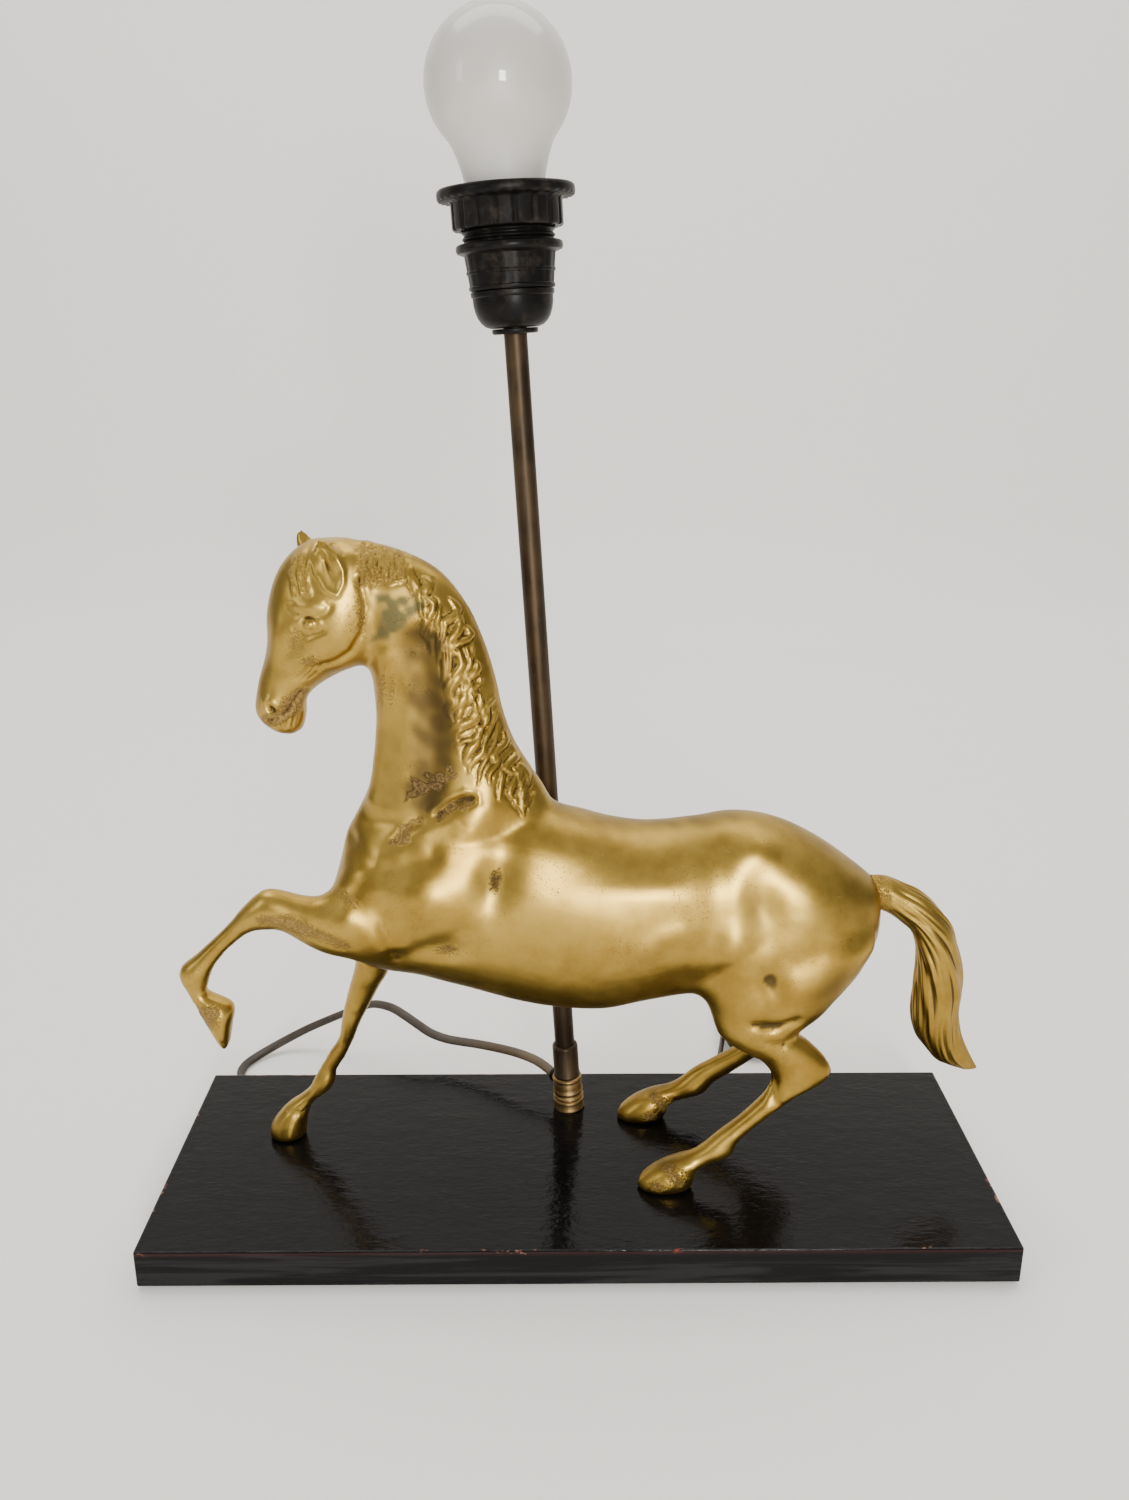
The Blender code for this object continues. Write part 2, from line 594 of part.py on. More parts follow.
def build_hoof_screws():
    """A slotted screw with a washer under each standing hoof, up through the board."""
    seat = FELT_THICKNESS + GAP + SCREW_COUNTERBORE_DEPTH
    washer_top = seat - GAP
    washer_low = washer_top - SCREW_WASHER_THICKNESS
    head_top = washer_low - GAP
    head_low = head_top - SCREW_HEAD_HEIGHT
    tip = BOARD_TOP + GAP + SCREW_BITE
    for number, (leg, (x, y)) in enumerate(HOOF_SCREWS.items(), start=1):
        profile = [(0, head_low), (SCREW_HEAD_RADIUS * 0.8, head_low),
                   (SCREW_HEAD_RADIUS, head_low + 0.7 * MM), (SCREW_HEAD_RADIUS, head_top),
                   (SCREW_RADIUS, head_top), (SCREW_RADIUS, tip - MM), (SCREW_RADIUS / 2, tip),
                   (0, tip)]
        screw = turned(f"hoof_screw_{number}", profile, "steel", steps=16, closed=False)
        screw.location = (x, y, 0)
        cut_box(screw, f"slot_{number}", (x - 0.5 * MM, y - 5 * MM, head_low - MM),
                (x + 0.5 * MM, y + 5 * MM, head_low + 1.1 * MM))
        washer = turned(f"hoof_washer_{number}",
                        ring_profile(SCREW_RADIUS + GAP, SCREW_WASHER_RADIUS, washer_low,
                                     washer_top), "steel", steps=20)
        washer.location = (x, y, 0)


def exit_direction():
    """Where the flex leaves the foot, square to the stem, in the stem's own frame."""
    return Vector((math.cos(CORD_EXIT_ANGLE), math.sin(CORD_EXIT_ANGLE), 0))


def build_stem():
    outward = exit_direction()
    exit_middle = Vector((0, 0, CORD_EXIT_HEIGHT))
    counterbore_top = FELT_THICKNESS + GAP - BOARD_TOP + STEM_COUNTERBORE_DEPTH
    lean_drop = STEM_RADIUS * math.tan(STEM_LEAN)
    tube_low = (FELT_THICKNESS + 2 * GAP - BOARD_TOP + lean_drop) / math.cos(STEM_LEAN)
    stem = turned("stem_tube", ring_profile(STEM_BORE, STEM_RADIUS, tube_low,
                                            STEM_LENGTH + STEM_ENTRY), "stem_brass", STEM_AXIS)
    cut_rod(stem, "stem_cable_hole", BUSHING_RADIUS - GAP, exit_middle,
            exit_middle + outward * 15 * MM, STEM_AXIS, 12)

    bore = STEM_RADIUS + GAP
    drum = FOOT_RADIUS
    top = FOOT_HEIGHT
    foot_profile = [(bore, -2 * MM), (drum, -2 * MM), (drum, 5.6 * MM), (drum - 0.8 * MM, 6.1 * MM),
                    (drum + 0.1 * MM, 7.2 * MM), (drum - 0.8 * MM, 8.4 * MM),
                    (drum - 0.8 * MM, 9.2 * MM), (drum, 10.2 * MM), (drum - 0.4 * MM, 11.3 * MM),
                    (drum - 0.6 * MM, top - 3.2 * MM), (drum - 0.9 * MM, top - 2.6 * MM),
                    (drum - 0.2 * MM, top - 1.3 * MM), (drum - 1.0 * MM, top), (bore, top)]
    foot = turned("stem_foot", foot_profile, "stem_brass", STEM_AXIS)
    cut_box(foot, "board_level", (-0.1, -0.1, BOARD_TOP - 0.05), (0.1, 0.15, BOARD_TOP + GAP))
    cut_rod(foot, "foot_cable_hole", BUSHING_RADIUS + GAP, exit_middle,
            exit_middle + outward * 15 * MM, STEM_AXIS)
    sleeve_low = FOOT_HEIGHT + GAP
    sleeve_high = sleeve_low + SLEEVE_HEIGHT
    sleeve_profile = [(bore, sleeve_low), (SLEEVE_RADIUS + 0.3 * MM, sleeve_low),
                      (SLEEVE_RADIUS, sleeve_low + MM), (SLEEVE_RADIUS, sleeve_high - 0.8 * MM),
                      (SLEEVE_RADIUS - 0.6 * MM, sleeve_high), (bore, sleeve_high)]
    turned("stem_sleeve", sleeve_profile, "stem_brass", STEM_AXIS)

    bushing = turned("cord_bushing",
                     ring_profile(INNER_CABLE_RADIUS + GAP, BUSHING_RADIUS, bore + 0.2 * MM,
                                  FOOT_RADIUS + 1.6 * MM), "bakelite", STEM_AXIS, 16)
    bushing.rotation_euler = outward.to_track_quat("Z", "Y").to_euler()
    bushing.location = exit_middle

    washer_top = counterbore_top - 2 * GAP
    washer_low = washer_top - STEM_WASHER_THICKNESS
    turned("stem_washer", ring_profile(bore, STEM_WASHER_RADIUS, washer_low, washer_top),
           "steel", STEM_AXIS)
    nut_top = washer_low - GAP
    corner = 1 / math.cos(math.pi / 6)
    nut = turned("stem_nut", ring_profile(bore * corner, NUT_ACROSS_FLATS / 2 * corner,
                                          nut_top - NUT_HEIGHT, nut_top),
                 "steel", STEM_AXIS, steps=6)
    nut.rotation_euler = (0, 0, math.radians(15))

    cable_end = STEM_LENGTH + 4 * MM
    cable = [outward * distance * MM + Vector((0, 0, CORD_EXIT_HEIGHT + rise * MM))
             for distance, rise in ((9.7, 0), (7.5, 0), (5.2, 0.1), (3.4, 0.7), (2.0, 1.9),
                                    (1.1, 3.6), (0.5, 6), (0.2, 9), (0, 13))]
    runs = 12
    start = CORD_EXIT_HEIGHT + 13 * MM
    cable += [Vector((0, 0, start + (cable_end - start) * run / runs))
              for run in range(1, runs + 1)]
    tube("stem_cable", cable, INNER_CABLE_RADIUS, "flex", STEM_AXIS)


def build_holder():
    """The lampholder, in the stem's frame; its base is STEM_LENGTH above the board."""
    base = STEM_LENGTH
    bore = STEM_RADIUS + GAP
    nut_height = 2.2 * MM
    nut_radius = STEM_RADIUS + 4.9 * MM
    turned("socket_locknut", [(bore, base), (nut_radius - 0.5 * MM, base),
                              (nut_radius, base + 0.5 * MM),
                              (nut_radius, base + nut_height), (bore, base + nut_height)],
           "bakelite", STEM_AXIS)
    cap_low = base + nut_height + GAP
    cap_top = base + CAP_HEIGHT
    neck_radius = CAP_RADIUS - 1.2 * MM
    neck_top = cap_top + 5 * MM
    inner = CAP_RADIUS - CAP_WALL
    turned("socket_cap", [(bore, cap_low), (CAP_RADIUS * 0.6, cap_low),
                          (CAP_RADIUS * 0.79, cap_low + 2.0 * MM),
                          (CAP_RADIUS * 0.935, cap_low + 5.6 * MM), (CAP_RADIUS, cap_low + 9.6 * MM),
                          (CAP_RADIUS, cap_top), (neck_radius, cap_top), (neck_radius, neck_top),
                          (inner, neck_top), (inner, cap_low + 8.4 * MM),
                          (CAP_RADIUS * 0.67, cap_low + 4.0 * MM), (bore, cap_low + 2.8 * MM)],
           "bakelite", STEM_AXIS)
    flange_low = base + SKIRT_FLANGE_BASE
    flange_high = flange_low + SKIRT_FLANGE_THICKNESS
    skirt_low = cap_top + GAP
    skirt_bore = HOLDER_RADIUS - HOLDER_WALL
    thread = []
    ridge = flange_high + 0.6 * MM
    while ridge < base + SKIRT_TOP - 2.4 * MM:
        thread += [(HOLDER_RADIUS - 0.8 * MM, ridge), (HOLDER_RADIUS, ridge + 0.8 * MM),
                   (HOLDER_RADIUS, ridge + 1.5 * MM)]
        ridge += 2.5 * MM
    profile = [(neck_radius + GAP, skirt_low), (CAP_RADIUS + 1.4 * MM, skirt_low),
               (CAP_RADIUS + 1.6 * MM, skirt_low + 1.2 * MM),
               (HOLDER_RADIUS, flange_low - 0.6 * MM),
               (HOLDER_FLANGE_RADIUS, flange_low), (HOLDER_FLANGE_RADIUS, flange_high),
               (HOLDER_RADIUS - 0.8 * MM, flange_high)]
    profile += thread + [(HOLDER_RADIUS - 0.8 * MM, base + SKIRT_TOP),
                         (skirt_bore, base + SKIRT_TOP),
                         (skirt_bore, neck_top + 2 * GAP), (neck_radius + GAP, neck_top + GAP)]
    turned("socket_skirt", profile, "bakelite", STEM_AXIS)

    insert_low = base + 12.0 * MM
    insert_top = base + 17.6 * MM
    insert_radius = inner - 0.5 * MM
    insert = turned("socket_insert", [(0, insert_low), (insert_radius, insert_low),
                                      (insert_radius, insert_top), (0, insert_top)],
                    "porcelain", STEM_AXIS, 24, closed=False)
    for number, side in enumerate((-1, 1), start=1):
        x = side * 8.0 * MM
        hole = 1.5 * MM + GAP
        cut_rod(insert, f"terminal_hole_{number}", hole, (x, 0, insert_low - MM),
                (x, 0, insert_low + 3.4 * MM), STEM_AXIS, 12)
        screw = turned(f"terminal_screw_{number}",
                       [(0, insert_low - 1.9 * MM), (2.6 * MM, insert_low - 1.9 * MM),
                        (2.6 * MM, insert_low - GAP), (1.5 * MM, insert_low - GAP),
                        (1.5 * MM, insert_low + 3.0 * MM), (0, insert_low + 3.0 * MM)],
                       "contact_brass", STEM_AXIS, 12, closed=False)
        screw.location = (x, 0, 0)
        core = [(side * x * MM, 0, base + height * MM)
                for x, height in ((1.0, 4.9), (1.2, 6.4), (1.9, 7.8), (3.4, 8.7), (5.4, 8.8),
                                  (7.2, 8.8), (8.6, 8.8))]
        tube(f"cable_core_{number}", [Vector(point) for point in core], CORE_RADIUS,
             "core_insulation", STEM_AXIS)

    contact_low = insert_top + GAP
    contact = add_object("centre_contact",
                         box_mesh("centre_contact", (-2.5 * MM, -7 * MM, contact_low),
                                  (2.5 * MM, 4 * MM, contact_low + 0.6 * MM)),
                         "contact_brass", STEM_AXIS)
    edge = contact.modifiers.new("edge", "BEVEL")
    edge.width = 0.15 * MM
    edge.segments = 1
    shell_inner = BULB_CAP_RADIUS + THREAD_SHELL_CLEARANCE
    shell_outer = shell_inner + THREAD_SHELL_WALL
    shell_low = contact_low
    shell_top = base + SKIRT_TOP - 10 * MM
    turned("socket_thread_shell", ring_profile(shell_inner, shell_outer, shell_low, shell_top),
           "contact_brass", STEM_AXIS)


def build_shade_ring():
    """The threaded ring that clamps a shade: a wide flange over a notched skirt."""
    base = STEM_LENGTH + RING_BASE
    bore = HOLDER_RADIUS + RING_CLEARANCE
    flange_low = base + RING_SKIRT_HEIGHT
    flange_top = flange_low + RING_FLANGE_THICKNESS
    per_notch = 4
    steps = RING_NOTCHES * per_notch
    notched = [RING_SKIRT_RADIUS - (RING_NOTCH_DEPTH if step % per_notch == 0 else 0)
               for step in range(steps)]
    plain = [1.0] * steps
    rings = [([bore] * steps, base), ([r - 0.4 * MM for r in notched], base),
             (notched, base + 0.6 * MM), (notched, flange_low),
             ([RING_RADIUS * p for p in plain], flange_low),
             ([RING_RADIUS * p for p in plain], flange_top - 0.6 * MM),
             ([(RING_RADIUS - 0.8 * MM) * p for p in plain], flange_top),
             ([bore] * steps, flange_top)]
    bm = bmesh.new()
    loops = []
    for radii, height in rings:
        loop = []
        for step, radius in enumerate(radii):
            angle = 2 * math.pi * step / steps
            loop.append(bm.verts.new((radius * math.cos(angle), radius * math.sin(angle), height)))
        loops.append(loop)
    for low, high in zip(loops, loops[1:] + loops[:1]):
        for step in range(steps):
            after = (step + 1) % steps
            bm.faces.new((low[step], low[after], high[after], high[step]))
    add_object("shade_ring", finish_mesh("shade_ring", bm), "bakelite", STEM_AXIS)


def build_bulb():
    base = STEM_LENGTH
    cap_low = base + BULB_CAP_BASE
    cap_high = cap_low + BULB_CAP_HEIGHT
    radius = BULB_CAP_RADIUS
    wall = 0.5 * MM
    turned("bulb_contact", [(0, cap_low - 1.6 * MM), (2.6 * MM, cap_low - 1.5 * MM),
                            (4.4 * MM, cap_low - 0.7 * MM), (6.6 * MM, cap_low + 1.2 * MM),
                            (5.4 * MM, cap_low + 3.6 * MM), (0, cap_low + 3.6 * MM)],
           "contact_brass", STEM_AXIS, 20, closed=False)
    outer = [(7.6 * MM, cap_low + 0.9 * MM), (radius - 2.4 * MM, cap_low + 3.2 * MM)]
    pitch = 3.63 * MM
    for turn in range(4):
        height = cap_low + 4.2 * MM + turn * pitch
        outer += [(radius - 1.1 * MM, height), (radius, height + pitch * 0.35),
                  (radius, height + pitch * 0.65)]
    outer += [(radius - 1.1 * MM, cap_low + 4.2 * MM + 4 * pitch), (radius, cap_high - 4.6 * MM),
              (radius, cap_high)]
    collar = radius - wall
    bore = radius - 2.2 * MM
    inner = [(collar, cap_high), (collar, cap_high - 4.0 * MM), (bore, cap_high - 5.4 * MM),
             (bore, cap_low + 5.5 * MM), (7.6 * MM, cap_low + 1.9 * MM)]
    turned("bulb_cap", outer + inner, "bulb_cap_metal", STEM_AXIS, 20)

    neck = BULB_NECK_RADIUS
    rim = (neck - 0.4 * MM, cap_high - 3.4 * MM)
    glass = [rim, (neck - 0.2 * MM, cap_high + 0.4 * MM),
             (neck + 1.9 * MM, base + 50 * MM), (neck + 3.85 * MM, base + 58 * MM),
             (neck + 6.2 * MM, base + 68 * MM)]
    middle = base + BULB_TOP - BULB_RADIUS
    for degrees in (-42, -30, -18, -6, 6, 18, 30, 42, 54, 66, 78):
        angle = math.radians(degrees)
        glass.append((BULB_RADIUS * math.cos(angle), middle + BULB_RADIUS * math.sin(angle)))
    glass.append((0, base + BULB_TOP))
    shell = [(max(r - BULB_WALL, 0), z - (BULB_WALL if r < neck * 2 and z > middle else 0))
             for r, z in glass[1:]]
    shell.append((0, base + BULB_TOP - BULB_WALL))
    inside = [point for point in reversed(shell) if point[0] > 0 or point is shell[-1]]
    turned("bulb_glass", glass + inside + [(rim[0] - BULB_WALL, rim[1])], "frosted_glass",
           STEM_AXIS, 24)

    flare_low = cap_high - 3 * MM
    flare = radius - 3.5 * MM
    turned("bulb_stem", [(0, flare_low), (flare, flare_low), (flare, flare_low + 0.8 * MM),
                         (4.0 * MM, flare_low + 5 * MM), (2.6 * MM, flare_low + 12 * MM),
                         (2.6 * MM, flare_low + 22 * MM), (0, flare_low + 23 * MM)],
           "clear_glass", STEM_AXIS, 16, closed=False)
    arc_radius = 9 * MM
    arc_height = base + 88 * MM
    post = flare_low + 23.4 * MM
    path = [Vector((-2.4 * MM, 0, post + 0.8 * MM)), Vector((-4.6 * MM, 0, (post + arc_height) / 2))]
    for part in range(13):
        angle = math.radians(200 + 280 * part / 12) + math.radians(60)
        path.append(Vector((arc_radius * math.cos(angle) * -1, arc_radius * math.sin(angle) * 0.55,
                            arc_height + 1.5 * MM * math.sin(part * math.pi / 6))))
    path += [Vector((4.6 * MM, 0, (post + arc_height) / 2)), Vector((2.4 * MM, 0, post + 0.8 * MM))]
    tube("bulb_filament", path, 0.35 * MM, "tungsten", STEM_AXIS, 1)


def fitted_route_point(point):
    """A route point moved with the stem's thickness, the board's back edge and its top."""
    towards_edge = min(1.0, (point[1] - LEAD_ROUTE[0][1]) / (0.076 - LEAD_ROUTE[0][1]))
    off_table = min(1.0, max(0.0, (point[2] - 0.004) / 0.016))
    at_stem = exit_direction() * (STEM_RADIUS - 5 * MM) * (1 - towards_edge)
    shift = Vector((0, (BOARD_DEPTH / 2 - 0.070) * towards_edge, STAND * off_table))
    return Vector(point) + at_stem + shift


def build_lead():
    """The flex as a tube, the tied hank of the rest, and the plug lying on the hank."""
    route = [fitted_route_point(point) for point in LEAD_ROUTE]
    tube("cord_lead", smooth_route(route, 10 * MM), CORD_RADIUS, "flex")

    hank_frame = bpy.data.objects.new("hank_frame", None)
    bpy.context.collection.objects.link(hank_frame)
    hank_frame.location = (*HANK_CENTRE, 0)
    hank_frame.rotation_euler = (0, 0, HANK_TURN)
    hank_low = TIE_THICKNESS + GAP
    hank_top = hank_low + HANK_HEIGHT
    end_radius = HANK_WIDTH / 2
    straight = HANK_LENGTH / 2 - end_radius
    bm = bmesh.new()
    outline = []
    for end in (1, -1):
        for step in range(13):
            angle = math.pi * step / 12 + (0 if end == 1 else math.pi)
            outline.append(bm.verts.new((end_radius * math.cos(angle),
                                         end * straight + end_radius * math.sin(angle), hank_low)))
    face = bm.faces.new(outline)
    raised = bmesh.ops.extrude_face_region(bm, geom=[face])
    top = [item for item in raised["geom"] if isinstance(item, bmesh.types.BMVert)]
    bmesh.ops.translate(bm, verts=top, vec=(0, 0, HANK_HEIGHT))
    add_object("cord_hank", finish_mesh("cord_hank", bm), "flex", hank_frame)

    inner_x = end_radius + GAP
    outer_x = inner_x + TIE_THICKNESS
    half = TIE_WIDTH / 2
    tie = add_object("cord_tie", box_mesh("cord_tie", (-outer_x, -half, 0),
                                          (outer_x, half, hank_top + GAP + TIE_THICKNESS)),
                     "paper_tie", hank_frame)
    opening = box_mesh("tie_opening", (-inner_x, -2 * half, TIE_THICKNESS),
                       (inner_x, 2 * half, hank_top + GAP))
    combine(tie, as_guide(add_object("tie_opening", opening, parent=hank_frame)), "DIFFERENCE")

    tie_top = hank_top + GAP + TIE_THICKNESS
    rest = hank_top + GAP
    plug_middle = rest + PLUG_THICKNESS / 2
    plug_end = PLUG_START + PLUG_LENGTH
    half_width = PLUG_WIDTH / 2
    bm = bmesh.new()
    outline = [(-half_width, plug_end), (-half_width, plug_end - 13 * MM),
               (-5.5 * MM, PLUG_START + 5 * MM), (-4.2 * MM, PLUG_START),
               (4.2 * MM, PLUG_START), (5.5 * MM, PLUG_START + 5 * MM),
               (half_width, plug_end - 13 * MM), (half_width, plug_end)]
    face = bm.faces.new([bm.verts.new((x, y, rest)) for x, y in outline])
    raised = bmesh.ops.extrude_face_region(bm, geom=[face])
    top = [item for item in raised["geom"] if isinstance(item, bmesh.types.BMVert)]
    bmesh.ops.translate(bm, verts=top, vec=(0, 0, PLUG_THICKNESS))
    plug = add_object("plug_body", finish_mesh("plug_body", bm), "plug_plastic", hank_frame)
    rounding = plug.modifiers.new("rounding", "BEVEL")
    rounding.width = 1.5 * MM
    rounding.segments = 2
    for number, side in enumerate((-1, 1), start=1):
        x = side * PIN_SPACING / 2
        cut_rod(plug, f"pin_hole_{number}", PIN_RADIUS + GAP, (x, plug_end - PIN_ROOT - GAP, plug_middle),
                (x, plug_end + 5 * MM, plug_middle), hank_frame, 12)
        pin = turned(f"plug_pin_{number}", [(0, 0), (PIN_RADIUS, 0),
                                            (PIN_RADIUS, PIN_ROOT + PIN_LENGTH - 1.2 * MM),
                                            (PIN_RADIUS * 0.6, PIN_ROOT + PIN_LENGTH),
                                            (0, PIN_ROOT + PIN_LENGTH)],
                     "contact_brass", hank_frame, 12, closed=False)
        pin.location = (x, plug_end - PIN_ROOT, plug_middle)
        pin.rotation_euler = (-math.pi / 2, 0, 0)

    over_tie = tie_top + GAP + CORD_RADIUS
    tail_low = rest + CORD_RADIUS
    tail = [Vector((x * MM, y * MM, z)) for x, y, z in (
        (-12, -36, tail_low), (-9, -28, tail_low + 0.2 * MM), (-6, -20, tail_low + 0.6 * MM),
        (-3.5, -12, over_tie), (-1.5, -5, over_tie + 0.6 * MM), (-0.4, 2, over_tie + 1.2 * MM),
        (0, 7, plug_middle - 0.1 * MM))]
    tail.append(Vector((0, PLUG_START - GAP, plug_middle)))
    tube("cord_tail", smooth_route(tail, 5 * MM), CORD_RADIUS, "flex", hank_frame)


clear_scene()
MATERIALS = make_materials()
STEM_AXIS = bpy.data.objects.new("stem_axis", None)
bpy.context.collection.objects.link(STEM_AXIS)
STEM_AXIS.location = (STEM_FOOT_X, STEM_FOOT_Y, BOARD_TOP)
STEM_AXIS.rotation_euler = (0, -STEM_LEAN, 0)
build_base()
build_horse()
build_hoof_screws()
build_stem()
build_holder()
build_shade_ring()
build_bulb()
build_lead()
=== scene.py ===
"""Looks of a table lamp: a cast brass horse on a lacquered board, a leaning brass stem with
a bakelite lampholder, a shade ring and a frosted bulb, and a flat flex with its plug.
"""
import json
import math

import bmesh
import bpy
import numpy as np
from mathutils import Matrix, Vector


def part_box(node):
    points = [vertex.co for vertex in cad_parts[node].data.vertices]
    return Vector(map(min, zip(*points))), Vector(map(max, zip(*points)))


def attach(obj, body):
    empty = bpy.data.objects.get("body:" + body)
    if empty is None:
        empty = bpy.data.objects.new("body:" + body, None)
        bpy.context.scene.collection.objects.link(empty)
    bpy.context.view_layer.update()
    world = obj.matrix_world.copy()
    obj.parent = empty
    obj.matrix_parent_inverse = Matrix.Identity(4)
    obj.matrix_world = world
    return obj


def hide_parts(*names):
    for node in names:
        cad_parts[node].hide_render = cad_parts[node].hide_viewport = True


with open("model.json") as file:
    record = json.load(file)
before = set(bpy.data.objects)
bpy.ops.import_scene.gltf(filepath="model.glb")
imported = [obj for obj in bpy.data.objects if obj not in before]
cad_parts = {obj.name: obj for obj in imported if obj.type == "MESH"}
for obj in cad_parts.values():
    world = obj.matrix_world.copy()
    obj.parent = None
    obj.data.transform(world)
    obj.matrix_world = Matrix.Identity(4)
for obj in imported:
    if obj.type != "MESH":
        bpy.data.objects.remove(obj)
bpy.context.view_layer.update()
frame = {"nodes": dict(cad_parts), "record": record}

MM = 0.001

# The camera's place, its tilt down and its turn towards +X
CAMERA_PLACE = (-0.0099, -0.522, 0.3963)
CAMERA_TILT = math.radians(17.95)
CAMERA_TURN = math.radians(0.42)

BOARD_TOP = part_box("base_board")[1][2]
BOARD_HALF_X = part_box("base_board")[1][0]
BOARD_HALF_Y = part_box("base_board")[1][1]

# The stem's foot on the board and its lean towards -X; heights on it are along its axis
STEM_FOOT = (-3.4 * MM, 40 * MM, BOARD_TOP)
STEM_LEAN = math.radians(3.5)
STEM = Matrix.Translation(STEM_FOOT) @ Matrix.Rotation(-STEM_LEAN, 4, "Y")
HOLDER_BASE = 381.6                  # mm along the stem

# The flex
FLEX_WIDTH = 5.0 * MM
FLEX_THICKNESS = 3.0 * MM
FLEX_EXIT = (-0.0115, 0.0468, 0.0345)


# ---------------------------------------------------------------- shader maths

class Value:
    """A shader socket that arithmetic can be written on."""

    def __init__(self, finish, socket):
        self.finish = finish
        self.socket = socket

    def __add__(self, other):
        return self.finish.math("ADD", self, other)

    def __sub__(self, other):
        return self.finish.math("SUBTRACT", self, other)

    def __rsub__(self, other):
        return self.finish.math("SUBTRACT", other, self)

    def __mul__(self, other):
        return self.finish.math("MULTIPLY", self, other)

    __radd__ = __add__
    __rmul__ = __mul__


class Finish:
    """A material on one Principled shader; node() adds any node and math() an arithmetic one."""

    def __init__(self, name, colour, roughness, metallic=0.0, **plain):
        self.material = bpy.data.materials.new(name)
        self.material.use_nodes = True
        self.tree = self.material.node_tree
        self.shader = self.tree.nodes["Principled BSDF"]
        self.set("Base Color", (*colour, 1))
        self.set("Roughness", roughness)
        self.set("Metallic", metallic)
        for socket, value in plain.items():
            self.set(socket.replace("_", " "), value)
        self.material.diffuse_color = (*colour, 1)

    def put(self, socket, value):
        if isinstance(value, Value):
            self.tree.links.new(value.socket, socket)
        else:
            socket.default_value = value

    def set(self, socket, value):
        self.put(self.shader.inputs[socket], value)

    def node(self, kind, settings, values, output=0):
        node = self.tree.nodes.new(kind)
        for name, value in settings.items():
            setattr(node, name, value)
        for name, value in values.items():
            self.put(node.inputs[name], value)
        return Value(self, node.outputs[output])

    def math(self, operation, first, second):
        return self.node("ShaderNodeMath", {"operation": operation}, {0: first, 1: second})

    def place(self, scale=(1, 1, 1)):
        """Object coordinates, stretched by scale."""
        where = self.node("ShaderNodeTexCoord", {}, {}, "Object")
        if scale == (1, 1, 1):
            return where
        return self.node("ShaderNodeMapping", {}, {"Vector": where, "Scale": scale})

    def axis(self, letter):
        return self.node("ShaderNodeSeparateXYZ", {}, {"Vector": self.place()}, letter)

    def noise(self, scale, detail=3.0, roughness=0.55, stretch=(1, 1, 1), warp=0.0):
        return self.node("ShaderNodeTexNoise", {}, {
            "Vector": self.place(stretch), "Scale": scale, "Detail": detail,
            "Roughness": roughness, "Distortion": warp})

    def cells(self, scale):
        """Distance to the nearest of scattered points."""
        return self.node("ShaderNodeTexVoronoi", {}, {"Vector": self.place(), "Scale": scale},
                         "Distance")

    def painted(self, name):
        """A number painted on the piece's points."""
        return self.node("ShaderNodeAttribute", {"attribute_name": name}, {}, "Fac")

    def step(self, value, low, high):
        """0 below low, 1 above high, smooth between."""
        return self.node("ShaderNodeMapRange", {"interpolation_type": "SMOOTHSTEP"},
                         {"Value": value, "From Min": low, "From Max": high})

    def blend(self, share, first, second):
        """Colour first where share is 0, second where it is 1."""
        def full(colour):
            return (*colour, 1) if isinstance(colour, tuple) and len(colour) == 3 else colour
        return self.node("ShaderNodeMix", {"data_type": "RGBA", "clamp_factor": True},
                         {0: share, 6: full(first), 7: full(second)}, 2)

    def relief(self, *layers):
        """Bumps one on another; a layer is its height, strength and depth in metres."""
        normal = None
        for height, strength, depth in layers:
            values = {"Height": height, "Strength": strength, "Distance": depth}
            if normal:
                values["Normal"] = normal
            normal = self.node("ShaderNodeBump", {}, values)
        self.set("Normal", normal)


# ---------------------------------------------------------------- mesh helpers

def points_of(mesh):
    flat = np.empty(len(mesh.vertices) * 3)
    mesh.vertices.foreach_get("co", flat)
    return flat.reshape(-1, 3)


def normals_of(mesh):
    flat = np.empty(len(mesh.vertices) * 3)
    mesh.vertex_normals.foreach_get("vector", flat)
    return flat.reshape(-1, 3)


def set_points(mesh, points):
    mesh.vertices.foreach_set("co", points.ravel())
    mesh.update()


def paint(mesh, name, numbers):
    layer = mesh.attributes.new(name, "FLOAT", "POINT")
    layer.data.foreach_set("value", np.clip(numbers, 0, 1).astype(np.float32))


def piece(name, bm, finish, body="lamp", replaces=(), smooth=40, matrix=None):
    """A finished piece: its normals face out, edges sharper than smooth degrees stay sharp,
    and it rides on its body."""
    bmesh.ops.remove_doubles(bm, verts=bm.verts, dist=0.002 * MM)
    bmesh.ops.recalc_face_normals(bm, faces=bm.faces)
    mesh = bpy.data.meshes.new(name)
    bm.to_mesh(mesh)
    bm.free()
    if matrix is not None:
        mesh.transform(matrix)
    mesh.shade_smooth()
    if smooth < 180:
        mesh.set_sharp_from_angle(angle=math.radians(smooth))
    obj = bpy.data.objects.new(name, mesh)
    bpy.context.collection.objects.link(obj)
    obj.data.materials.append(finish.material)
    if body:
        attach(obj, body)
    if replaces:
        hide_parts(*replaces)
    return obj


def soften(obj, width):
    """Rounds the sharp edges."""
    edge = obj.modifiers.new("edge", "BEVEL")
    edge.width = width
    edge.segments = 2
    edge.limit_method = "ANGLE"
    edge.angle_limit = math.radians(30)
    edge.harden_normals = False


